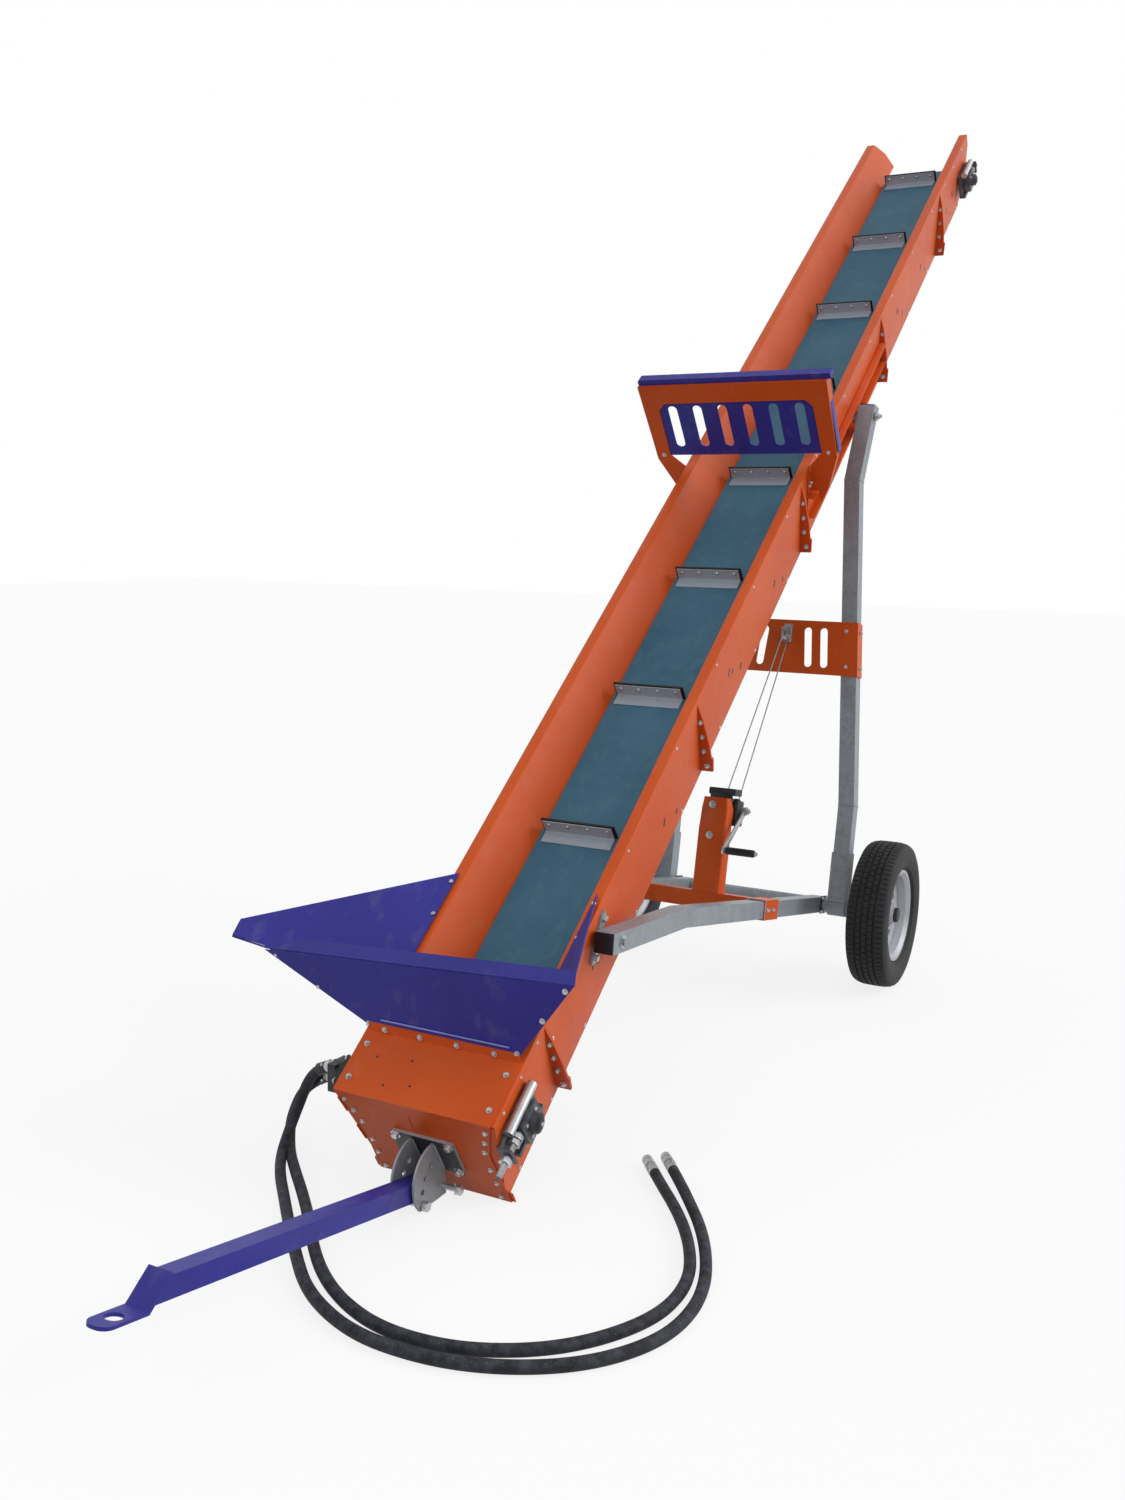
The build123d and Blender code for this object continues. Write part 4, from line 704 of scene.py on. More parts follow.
def belt_stretches():
    """The loop's straight runs, and its turns round the drums."""
    top, low = on_tail(-LEAN_TOP), on_tail(math.pi - LEAN_LOW)
    knee_top, knee_low = (KNEE_S, 0.0), (KNEE_S, RETURN_N)
    return (
        ("run", top, knee_top), ("run", knee_top, (HEAD_S, 0.0)),
        ("turn", (HEAD_S, HEAD_N), (0.0, math.pi)),
        ("run", (HEAD_S, RETURN_N), knee_low), ("run", knee_low, low),
        ("turn", (TAIL_S, TAIL_N), (math.pi + LEAN_LOW, 2 * math.pi + LEAN_TOP)),
    )


def stretch_length(kind, first, second):
    if kind == "run":
        return math.dist(first, second)
    return (second[1] - second[0]) * LOOP_R


def belt_point(run):
    """Place and heading on the belt's outer face, a distance from where it leaves the tail drum."""
    stretches = belt_stretches()
    run = run % sum(stretch_length(*stretch) for stretch in stretches)
    for kind, first, second in stretches:
        length = stretch_length(kind, first, second)
        if run < length:
            break
        run -= length
    if kind == "run":
        s = first[0] + (second[0] - first[0]) * run / length
        n = first[1] + (second[1] - first[1]) * run / length
        return s, n, math.atan2(second[1] - first[1], second[0] - first[0])
    a = second[0] + run / LOOP_R
    return first[0] + LOOP_R * math.sin(a), first[1] + LOOP_R * math.cos(a), -a


class CONVEYOR_OT_belt(bpy.types.Operator):
    """Makes the belt loop with its steel cleats, their rubber edges and bolts"""

    bl_idname = "conveyor.belt"
    bl_label = "Belt and cleats"

    def execute(self, context):
        size = context.scene.conveyor_sizes
        bm = bmesh.new()
        corners = [bm.verts.new(on_run(x, *on_tail(-LEAN_TOP))) for x in (-BELT_HALF, BELT_HALF)]
        edge = [bm.edges.new(corners)]
        for kind, first, second in belt_stretches():
            if kind == "turn":
                last = bmesh.ops.spin(bm, geom=edge, cent=on_run(0, *first), axis=ACROSS,
                                      angle=second[0] - second[1], steps=20,
                                      use_merge=False)["geom_last"]
                _, edge = split(last)
                continue
            steps = max(3, int(math.dist(first, second) / 0.4))
            way = on_run(0, *second) - on_run(0, *first)
            for _ in range(steps):
                _, edge = draw_out(bm, edge, way / steps)
        bmesh.ops.remove_doubles(bm, verts=bm.verts, dist=0.0001)
        bmesh.ops.recalc_face_normals(bm, faces=bm.faces)
        bmesh.ops.solidify(bm, geom=bm.faces[:], thickness=BELT_THICK)
        add_piece("belt_band", bm, "belt_cover", replaces="belt")
        pitch = sum(stretch_length(*stretch) for stretch in belt_stretches()) / size.cleats
        plates, strips, bolts = bmesh.new(), bmesh.new(), bmesh.new()
        for i in range(size.cleats):
            s, n, turn = belt_point(FIRST_CLEAT + i * pitch)
            heading = ALONG * math.cos(turn) + SQUARE * math.sin(turn)
            out = SQUARE * math.cos(turn) - ALONG * math.sin(turn)
            at = spot(on_run(0, s, n), out)
            if (at.to_3x3() @ Vector((0, 1, 0))).dot(heading) < 0:
                raise RuntimeError("a cleat faces the wrong way")
            self.plate(plates, at, size.cleat_plate)
            bar(strips, moved(at, 0, 0.0038, 0.0253), (0.249, 0.0072, 0.0500), 0.0012)
            for x in (-0.1, -0.034, 0.034, 0.1):
                face = moved(at, x, -0.0042, 0.031) @ Matrix.Rotation(math.pi / 2, 4, "X")
                dome_bolt(bolts, face, 0.0080, 0.0056)
                back = moved(at, x, 0.0074, 0.031) @ Matrix.Rotation(-math.pi / 2, 4, "X")
                hex_bolt(bolts, back, 0.010, 0.005)
        add_piece("cleat_plates", plates, "cleat_steel")
        add_piece("cleat_strips", strips, "black_plastic")
        add_piece("cleat_bolts", bolts, "plated_steel")
        return {"FINISHED"}

    def plate(self, bm, at, tall):
        """A bent steel angle, its foot towards the tail."""
        local = bmesh.new()
        half = CLEAT_HALF - 0.004
        row = [local.verts.new((x, -0.048, 0.0004)) for x in (-half, half)]
        edge = [local.edges.new(row)]
        for step in ((0, 0.046, 0), (0, 0.0, tall - 0.0004)):
            _, edge = draw_out(local, edge, step)
        bend = [e for e in local.edges
                if all(abs(v.co.y + 0.002) < 1e-6 and v.co.z < 0.001 for v in e.verts)]
        ease(local, bend, 0.007, 4)
        bmesh.ops.recalc_face_normals(local, faces=local.faces)
        if local.faces[:][0].normal.z < 0:
            bmesh.ops.reverse_faces(local, faces=local.faces)
        bmesh.ops.solidify(local, geom=local.faces[:], thickness=-0.0028)
        bmesh.ops.transform(local, matrix=at, verts=local.verts)
        pour(local, bm)


class CONVEYOR_OT_fasteners(bpy.types.Operator):
    """Adds the bolts of trough joints and lips, tail cover, end plate, hopper foot and hitch"""

    bl_idname = "conveyor.fasteners"
    bl_label = "Fasteners"

    def execute(self, context):
        size = context.scene.conveyor_sizes.bolt
        bm = bmesh.new()
        for joint in JOINTS:
            near, far = joint - FLANGE_FACE, joint + FLANGE_FACE
            for side in SIDES:
                for n, out in ((-0.152, 0.021), (-0.085, 0.011), (-0.020, 0.008), (0.045, 0.0055)):
                    x = side * (wall_x(n) + out)
                    hex_bolt(bm, spot(on_run(x, near, n), -ALONG), 0.0115)
                    hex_bolt(bm, spot(on_run(x, far, n), ALONG), 0.0115, 0.0085, stud=0.005)
                for x in (0.06, 0.14):
                    hex_bolt(bm, spot(on_run(side * x, near, -0.1725), -ALONG), 0.010)
        for low, high in zip((-1.0,) + JOINTS, JOINTS + (4.5,)):
            for side in SIDES:
                for share in (0.16, 0.5, 0.84):
                    s = low + (high - low) * share
                    dome_bolt(bm, on_wall(side, s, -0.168), 0.006, 0.004)
                    dome_bolt(bm, on_wall(side, s, 0.118), 0.0055, 0.0036)
        for side in SIDES:
            for s in (-0.962, -0.858):
                hex_bolt(bm, spot(on_run(side * 0.214, s, COVER_N), SQUARE), size)
            for n, inset in ((0.108, 0.014), (0.066, 0.014), (0.024, 0.014), (-0.05, 0.016),
                             (-0.105, 0.014), (-0.162, 0.018)):
                x = 0.236 + (0.197 - 0.236) * (LIP_N - n) / 0.127 if n > 0.008 else 0.199
                hex_bolt(bm, on_end(side * (x - inset), n), size * 0.9, 0.005)
            for n in (0.016, -0.084):
                hex_bolt(bm, on_end(side * 0.081, n, 0.0081), 0.017, 0.010)
        for x in (-0.180, -0.068, 0.046, 0.160):
            base = on_run(x, HOPPER_S, LIP_N) + HOPPER_UP * 0.0135 - ALONG * 0.0034
            hex_bolt(bm, spot(base, HOPPER_OUT), size, 0.005)
        add_piece("trough_bolts", bm, "plated_steel")
        return {"FINISHED"}


def round_line(name, points, radius, finish, body, sides=5):
    """A round wire through points, as a mesh."""
    curve = bpy.data.curves.new(f"{name}_line", "CURVE")
    curve.dimensions = "3D"
    curve.bevel_depth = radius
    curve.bevel_resolution = sides
    curve.use_fill_caps = True
    line = curve.splines.new("POLY")
    line.points.add(len(points) - 1)
    for point, place in zip(line.points, points):
        point.co = (*place, 1.0)
    drawn = bpy.data.objects.new(f"{name}_line", curve)
    bm = bmesh.new()
    made = bpy.data.meshes.new_from_object(drawn)
    bm.from_mesh(made)
    bpy.data.objects.remove(drawn)
    bpy.data.curves.remove(curve)
    bpy.data.meshes.remove(made)
    return add_piece(name, bm, finish, body, sharp=50.0)


def cut_off(bm, point, out):
    """Cuts away what lies past a plane."""
    bmesh.ops.bisect_plane(bm, geom=bm.verts[:] + bm.edges[:] + bm.faces[:],
                           plane_co=point, plane_no=out, clear_outer=True)


class CONVEYOR_OT_trough(bpy.types.Operator):
    """Builds the trough's six bolted sections of folded sheet with their joint flanges"""

    bl_idname = "conveyor.trough"
    bl_label = "Trough sections"

    def execute(self, context):
        ends = ((-1.040,) + JOINTS, JOINTS + (4.590,))
        names = ("tail", "lower", "middle", "strut_bay", "upper", "head")
        gap = 0.0002
        for name, low, high in zip(names, *ends):
            bm = bmesh.new()
            self.sheet(bm, name, low + gap * (name != "tail"), high - gap * (name != "head"))
            if name != "tail":
                self.flange(bm, low + gap, 1)
            if name != "head":
                self.flange(bm, high - gap, -1)
            if name == "strut_bay":
                self.rails(bm)
            if name == "tail":
                self.returns(bm)
            add_piece(f"sheet_{name}", bm, "orange_coat", replaces=f"trough_{name}")
        return {"FINISHED"}

    def sheet(self, bm, name, low, high):
        """One length of the folded section, open where the drums are."""
        half = ((FOOT_X, FOOT_N), (CREASE_X, LIP_N), (LIP_X, LIP_N), (GUIDE_X, BED_N))
        section = [(-x, n) for x, n in half] + [(x, n) for x, n in reversed(half)]
        bed_low, bed_high = TAIL_S + 0.062, HEAD_S - 0.062
        steps = {"tail": [low, bed_low, high], "head": [low, bed_high, high]}.get(name, [low, high])
        work = bmesh.new()
        row = [work.verts.new(on_run(x, low, n)) for x, n in section]
        edges = [work.edges.new(pair) for pair in zip(row, row[1:])]
        for start, end in zip(steps, steps[1:]):
            _, edges = draw_out(work, edges, ALONG * (end - start))
        ease(work, folds_along(work, ALONG, 0.99), 0.004, 3)
        gone = []
        for face in work.faces:
            place = face.calc_center_median() - RUN_ZERO
            on_bed = abs(place.dot(SQUARE) - BED_N) < 0.003 and abs(place.x) < GUIDE_X
            if on_bed and not bed_low < place.dot(ALONG) < bed_high:
                gone.append(face)
        bmesh.ops.delete(work, geom=gone, context="FACES")
        if name == "tail":
            cut_off(work, on_run(0, END_TOP_S + 0.0042, LIP_N), END_OUT)
        if name == "head":
            for first, second in (((4.545, 0.131), (4.591, 0.065)), ((4.591, -0.020), (4.460, -0.182))):
                way = on_run(0, *second) - on_run(0, *first)
                cut_off(work, on_run(0, *first), ACROSS.cross(way))
        bmesh.ops.recalc_face_normals(work, faces=work.faces)
        outer = max(work.faces, key=lambda face: face.calc_center_median().x)
        if outer.normal.x < 0:
            bmesh.ops.reverse_faces(work, faces=work.faces)
        bmesh.ops.solidify(work, geom=work.faces[:], thickness=SHEET)
        widest = max(v.co.x for v in work.verts) - MID_X
        if widest > CREASE_X + 0.0005:
            raise RuntimeError(f"the {name} sheet grows outwards")
        pour(work, bm)

    def flange(self, bm, s, way):
        """The joint's plates: a tapering ear on each side, with a square foot, and a strip below."""
        thick = 0.004
        outline = ((0.2435, 0.124), (0.2475, 0.060), (0.2445, -0.055), (0.2380, -0.116),
                   (0.2430, -0.124), (0.2310, FOOT_N), (0.188, FOOT_N))
        for side in SIDES:
            slab(bm, [on_run(side * x, s, n) for x, n in outline], ALONG * way * thick)
        bar(bm, spot(on_run(0, s + way * thick / 2, -0.173), ALONG), (0.376, 0.016, thick))

    def returns(self, bm):
        """The side sheets' returns behind the end plate, and the feet at its lower corners."""
        top = 0.130
        low_x, top_x = wall_x(FOOT_N) - 0.0006, wall_x(top) - 0.0006
        foot_n, foot_x = FOOT_N + 0.0005, FOOT_X + 0.026
        outlines = (
            ((low_x - 0.0334, FOOT_N), (low_x, FOOT_N), (top_x, top), (top_x - 0.0334, top)),
            ((FOOT_X - 0.003, foot_n), (foot_x, foot_n), (foot_x, FOOT_N + 0.034),
             (FOOT_X + 0.002, FOOT_N + 0.050)),
        )
        for side in SIDES:
            for outline in outlines:
                corners = [on_end(side * x, n, -0.0034).translation for x, n in outline]
                slab(bm, corners, END_OUT * -SHEET)

    def rails(self, bm):
        """The channels in which the struts' rollers run."""
        for side in SIDES:
            at = on_wall(side, 2.305, -0.033)
            bar(bm, moved(at, z=0.002), (1.090, 0.092, 0.004), 0.0008)
            for y in (0.044, -0.044):
                bar(bm, moved(at, 0, y, 0.0155), (1.090, 0.004, 0.031), 0.0008)


class CONVEYOR_OT_sheet_details(bpy.types.Operator):
    """Adds thin black discs and bars as painted shade for the small holes and slots, and the pressed
    lines and weld beads of the trough's sheets
    """

    bl_idname = "conveyor.sheet_details"
    bl_label = "Holes and welds"

    def execute(self, context):
        holes, welds, lines = bmesh.new(), bmesh.new(), bmesh.new()
        # the cover's holes: thin black discs, painted shade standing in for the openings
        for x, s in ((-0.105, -0.962), (-0.030, -0.948), (-0.165, -0.888), (-0.060, -0.878)):
            disc(holes, spot(on_run(x, s, COVER_N), SQUARE), 0.0034, 0.0004, 14)
        for side in SIDES:
            for low, high in zip((-0.69,) + JOINTS[1:], JOINTS[1:] + (4.5,)):
                for s, n, length in ((low + 0.30, -0.02, 0.020), (low + 0.335, -0.045, 0.012),
                                     (low + 0.42, -0.10, 0.020), (high - 0.34, -0.06, 0.020),
                                     (high - 0.24, -0.12, 0.012)):
                    # the walls' slots: thin black bars, painted shade standing in for the openings
                    at = on_wall(side, s, n, 0.0002) @ Matrix.Rotation(math.radians(65), 4, "Z")
                    bar(holes, at, (length * 1.4, 0.0120, 0.0008), 0.0003)
            for joint in JOINTS:
                for s in (joint + 0.005, joint - 0.005):
                    for low, high in ((-0.172, -0.10), (-0.03, 0.05)):
                        start, end = (on_wall(side, s, n, 0.0015).translation for n in (low, high))
                        bead(welds, (start, end), 0.0028)
            for n in (-0.17, -0.06, 0.05):
                start, end = (on_end(side * (wall_x(m) - 0.002), m, -0.001).translation
                              for m in (n, n + 0.055))
                bead(welds, (start, end), 0.0024)
        for x, low, high in ((-0.024, 0.036, 0.098), (0.022, 0.030, 0.104)):
            rod(lines, on_end(x, low).translation, on_end(x + 0.006, high).translation, 0.0016, 8)
        add_piece("sheet_hole_shade", holes, "black_plastic")
        add_piece("sheet_welds", welds, "orange_coat", sharp=60.0)
        add_piece("end_plate_lines", lines, "orange_coat")
        return {"FINISHED"}


class CONVEYOR_OT_hopper(bpy.types.Operator):
    """Adds the hopper's bolts, its rolled edges and the pressed line of its front, painted pale blue as
    a highlight
    """

    bl_idname = "conveyor.hopper"
    bl_label = "Hopper details"

    def execute(self, context):
        size = context.scene.conveyor_sizes.bolt
        bolts, line, folds = bmesh.new(), bmesh.new(), bmesh.new()
        foot_s, foot_n = -0.807, LIP_N + 0.008
        seams = (
            ((-0.228, foot_s, foot_n), (-0.569, -0.717, 0.284), (0.05, 0.52, 0.93), 0.012),
            ((0.228, foot_s, foot_n), (0.400, -0.692, 0.344), (0.06, 0.52, 0.92), -0.012),
        )
        for low, high, shares, inward in seams:
            for share in shares:
                place = on_run(*Vector(low).lerp(Vector(high), share)) + ACROSS * inward
                hex_bolt(bolts, spot(place + HOPPER_OUT * 0.003, HOPPER_OUT), size, 0.006)
        # the wings' bolts on the trough's lips
        for side in SIDES:
            for s in (-0.74, -0.58, -0.42, -0.30):
                dome_bolt(bolts, spot(on_run(side * 0.232, s, LIP_N + 0.012), SQUARE), 0.007)
        # the pressed line across the front, in pale blue: a painted highlight on its bent edge
        start, end = (on_run(x, -0.796, LIP_N + 0.034) + HOPPER_OUT * 0.0026 for x in (-0.19, 0.205))
        rod(line, start, end, 0.0024, 8)
        rim = ((-0.671, -0.722, 0.3195), (-0.569, -0.717, 0.286), (0.400, -0.692, 0.346))
        for start, end in zip(rim, rim[1:]):
            rod(folds, on_run(*start), on_run(*end), 0.0028, 10)
        add_piece("hopper_bolts", bolts, "plated_steel")
        add_piece("hopper_line", line, "highlight_blue")
        add_piece("hopper_folds", folds, "blue_coat")
        return {"FINISHED"}


class CONVEYOR_OT_guard(bpy.types.Operator):
    """Adds the guard's bolts, the rolled lower edge of its panel and its side cheeks"""

    bl_idname = "conveyor.guard"
    bl_label = "Guard details"

    def execute(self, context):
        size = context.scene.conveyor_sizes.bolt
        bolts, folds = bmesh.new(), bmesh.new()
        bolt_x, bolt_n = 0.322, 0.184
        for side in SIDES:
            hex_bolt(bolts, spot(on_run(side * bolt_x, 1.796, bolt_n), -ALONG), size, 0.006)
            hex_bolt(bolts, spot(on_run(side * bolt_x, 1.8044, bolt_n), ALONG), size, 0.008, stud=0.005)
            for s in (1.767, 1.788):
                hex_bolt(bolts, on_wall(side, s, 0.06, 0.0048), size, 0.007)
        rod(folds, on_run(-0.328, 1.8022, 0.181), on_run(0.328, 1.8022, 0.181), 0.0032, 10)
        for side in SIDES:
            high, low = on_run(side * 0.3608, 1.822, 0.470), on_run(side * 0.3530, 1.822, 0.172)
            cheek = spot((high + low) / 2, ACROSS * side, high - low)
            bar(folds, cheek, ((high - low).length, 0.036, 0.0014), 0.0005)
        add_piece("guard_bolts", bolts, "plated_steel")
        add_piece("guard_edge", folds, "blue_coat")
        return {"FINISHED"}


def housing_x(n):
    """Half width over the trough at the take-ups' housings, beside a drum at a height n."""
    return max(0.238, wall_x(n + 0.055) + 0.0064)


class CONVEYOR_OT_takeups(bpy.types.Operator):
    """Adds the bright guide bars, threaded rods, nuts and boss rings of the take-up units"""

    bl_idname = "conveyor.takeups"
    bl_label = "Take-up details"

    def execute(self, context):
        bright, rings = bmesh.new(), bmesh.new()
        tail, head = (TAIL_S, TAIL_N), (HEAD_S, HEAD_N)
        for (s, n), side, way, length in ((tail, 1, -1, 0.128), (tail, -1, -1, 0.040),
                                          (head, 1, 1, 0.090), (head, -1, 1, 0.090)):
            self.threads(bright, s, n, side, way, length)
            # the motor covers the left boss at the tail
            if side > 0 or way > 0:
                self.boss(bright, rings, s, n, side)
        add_piece("takeup_bright", bright, "plated_steel")
        add_piece("takeup_bosses", rings, "black_casting")
        for end in ("tail", "head"):
            for side in ("left", "right"):
                refinish(f"takeup_{end}_{side}", "dark_steel")
        return {"FINISHED"}

    def threads(self, bright, s, n, side, way, length):
        """The guide bar over the housing, and the threaded rod with its nuts."""
        x = side * (housing_x(n) + 0.017)
        reach, thread = 0.0756, 0.0025
        low, high = (on_run(x - side * 0.001, s + end, n + 0.058) for end in (-reach, reach))
        rod(bright, low, high, 0.0134, 24)
        begin, out = on_run(x, s + way * 0.0445, n + 0.014), ALONG * way
        for i in range(int(length / thread)):
            disc(bright, spot(begin + out * i * thread, out), 0.0086, 0.0016, 14, top=0.0080)
        for gap in (0.0055, 0.0215, 0.0755):
            if gap + 0.012 < length:
                disc(bright, spot(begin + out * gap, out), 0.0158, 0.012, 6, rim=0.0012)
                disc(bright, spot(begin + out * (gap + 0.012), out), 0.0172, 0.0016, 22)

    def boss(self, bright, rings, s, n, side):
        """The bearing's stepped boss with its four bolts."""
        out = ACROSS * side
        face = on_run(side * (housing_x(n) + 0.050), s, n)
        stepped(rings, spot(face, out), ((0, 0.002, 0.0268, 28, 0.001), (0, 0.0045, 0.0210, 28, 0.001),
                                         (0, 0.008, 0.0150, 28, 0.001)))
        disc(bright, spot(face + out * 0.008, out), 0.0064, 0.004, 6, rim=0.0005)
        for a in range(4):
            turn = math.radians(45 + 90 * a)
            along, high = s + 0.036 * math.cos(turn), n + 0.034 * math.sin(turn)
            ear = spot(on_run(side * (housing_x(n) + 0.034), along, high), out)
            hex_bolt(bright, ear, 0.010, 0.005, washer=False)


class CONVEYOR_OT_motor(bpy.types.Operator):
    """Adds the motor's end plates, screws, port hexagons and hose ferrules"""

    bl_idname = "conveyor.motor"
    bl_label = "Motor details"

    def execute(self, context):
        dark, bright = bmesh.new(), bmesh.new()
        out = -ACROSS
        centre = on_run(0, TAIL_S, TAIL_N)
        face = centre + out * (housing_x(TAIL_N) + 0.0502)
        plates = ((0.0145, 0.006, 0.0435), (0.0225, 0.005, 0.0432), (0.0300, 0.004, 0.0428))
        stepped(dark, spot(face, out), [(*plate, 36, 0.0012) for plate in plates])
        for a in range(4):
            at = face + out * 0.014 + round_about(math.radians(45 + 90 * a) + PITCH) * 0.051
            hex_bolt(bright, spot(at, out), 0.013, 0.007)
        outer_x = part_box("hydraulic_motor")[0].x + 0.030
        for y, z in ((-1.625, 0.222), (-1.562, 0.218), (-1.626, 0.268)):
            disc(bright, spot(Vector((outer_x, y, z)), out), 0.0042, 0.004, 12, rim=0.0006)
        for route in (HOSE_OUTER, HOSE_INNER):
            begin, ahead = hose_place(route[0]), hose_place(route[1])
            at = spot(begin, ahead - begin, (0, 1, 0))
            stepped(bright, at, ((-0.034, 0.020, 0.0150, 24, 0.001), (-0.018, 0.016, 0.0182, 6, 0.0014),
                                 (-0.003, 0.006, 0.0158, 28, 0.001)))
            disc(dark, moved(at, z=0.003), 0.0172, 0.030, 28, rim=0.002)
        add_piece("motor_rings", dark, "black_casting")
        add_piece("motor_fittings", bright, "plated_steel")
        return {"FINISHED"}


class CONVEYOR_OT_chassis(bpy.types.Operator):
    """Adds the arms' end plugs, the pivots' bolts and split pins, and the sleeves' bolts and welds"""

    bl_idname = "conveyor.chassis"
    bl_label = "Chassis details"

    def execute(self, context):
        size = context.scene.conveyor_sizes.bolt
        pivot = on_run(0, PIVOT_S, PIVOT_N)
        front = (pivot - BEND).normalized()
        plugs, bright, welds = bmesh.new(), bmesh.new(), bmesh.new()
        for side in SIDES:
            shift = ACROSS * side
            for end, out in ((pivot + front * 0.0575, front), (AXLE + BACK * 0.0475, BACK)):
                bar(plugs, spot(end + shift * ARM_X, out), (0.0585, 0.0585, 0.005), 0.0022)
            self.pivot(bright, pivot, side)
            arm = BEAM + shift * ARM_X
            for place in (-0.085, -0.030):
                hex_bolt(bright, spot(arm + shift * 0.0352 + BACK * place, shift), size, 0.008)
            for edge in (0.0322, -0.108):
                square_bead(welds, arm + BACK * edge, ACROSS, ARM_UP, 0.034, 0.0026)
            square_bead(welds, arm - shift * 0.0352, BACK, ARM_UP, 0.030, 0.003)
            end = AXLE + shift * ARM_X
            bar(plugs, spot(end + shift * 0.0305, shift, BACK), (0.074, 0.070, 0.004), 0.003)
            for a, b in ((1, 1), (1, -1), (-1, 1), (-1, -1)):
                at = end + shift * 0.0322 + BACK * a * 0.027 + ARM_UP * b * 0.026
                hex_bolt(bright, spot(at, shift), 0.010, 0.006)
        add_piece("arm_plugs", plugs, "black_plastic", "chassis")
        add_piece("chassis_bolts", bright, "plated_steel", "chassis")
        add_piece("chassis_welds", welds, "dipped_zinc", "chassis", sharp=60.0)
        return {"FINISHED"}

    def pivot(self, bright, pivot, side):
        """The pin's washer and split pin, and the two bolts of the pivot plate."""
        shift = ACROSS * side
        outer = pivot + shift * (ARM_X + 0.030)
        disc(bright, spot(outer, shift), 0.019, 0.0025, 28)
        pin = outer + shift * 0.006
        rod(bright, pin - SQUARE * 0.018, pin + SQUARE * 0.018, 0.0018, 8)
        turn = math.radians(39.3)
        for place in (0.056, -0.056):
            s, n = PIVOT_S + place * math.cos(turn), PIVOT_N + place * math.sin(turn)
            hex_bolt(bright, on_wall(side, s, n, 0.0066), 0.017, 0.010)


class CONVEYOR_OT_struts(bpy.types.Operator):
    """Adds the struts' end plugs, the sleeves' welds and bolts, and the roller pins"""

    bl_idname = "conveyor.struts"
    bl_label = "Strut details"

    def execute(self, context):
        size = context.scene.conveyor_sizes.bolt
        low_l, low_x, high_l, high_x = 0.400, 0.371, 1.682, 0.264
        plugs, bright, welds = bmesh.new(), bmesh.new(), bmesh.new()
        for side in SIDES:
            shift = ACROSS * side
            tip = AXLE + shift * 0.2952 + STRUT_UP * 1.980
            lean = (STRUT_UP + shift * 0.1047).normalized()
            bar(plugs, spot(tip + lean * 0.0012, lean), (0.0605, 0.0605, 0.005), 0.0022)
            for l, x, half, radius in ((0.211, STRUT_X, 0.033, 0.0028), (low_l, low_x, 0.031, 0.0026),
                                       (high_l, high_x, 0.031, 0.0026)):
                centre = AXLE + shift * x + STRUT_UP * l
                square_bead(welds, centre, ACROSS, STRUT_FACE, half, radius)
            pin = AXLE + shift * 0.332 + STRUT_UP * 1.940
            disc(bright, spot(pin, shift), 0.0165, 0.003, 24, rim=0.001)
            hex_bolt(bright, spot(pin + shift * 0.003, shift), 0.019, 0.010, washer=False, stud=0.006)
            for l in (0.94, 1.08):
                x = low_x + (high_x - low_x) * (l - low_l) / (high_l - low_l)
                tube = AXLE + shift * x + STRUT_UP * l
                hex_bolt(bright, spot(tube + shift * 0.0365, shift), size, 0.008)
                front = tube - shift * 0.01 + STRUT_FACE * 0.0363
                hex_bolt(bright, spot(front, STRUT_FACE), size, 0.007)
        add_piece("strut_plugs", plugs, "black_plastic", "struts")
        add_piece("strut_bolts", bright, "plated_steel", "struts")
        add_piece("strut_welds", welds, "dipped_zinc", "struts", sharp=60.0)
        return {"FINISHED"}


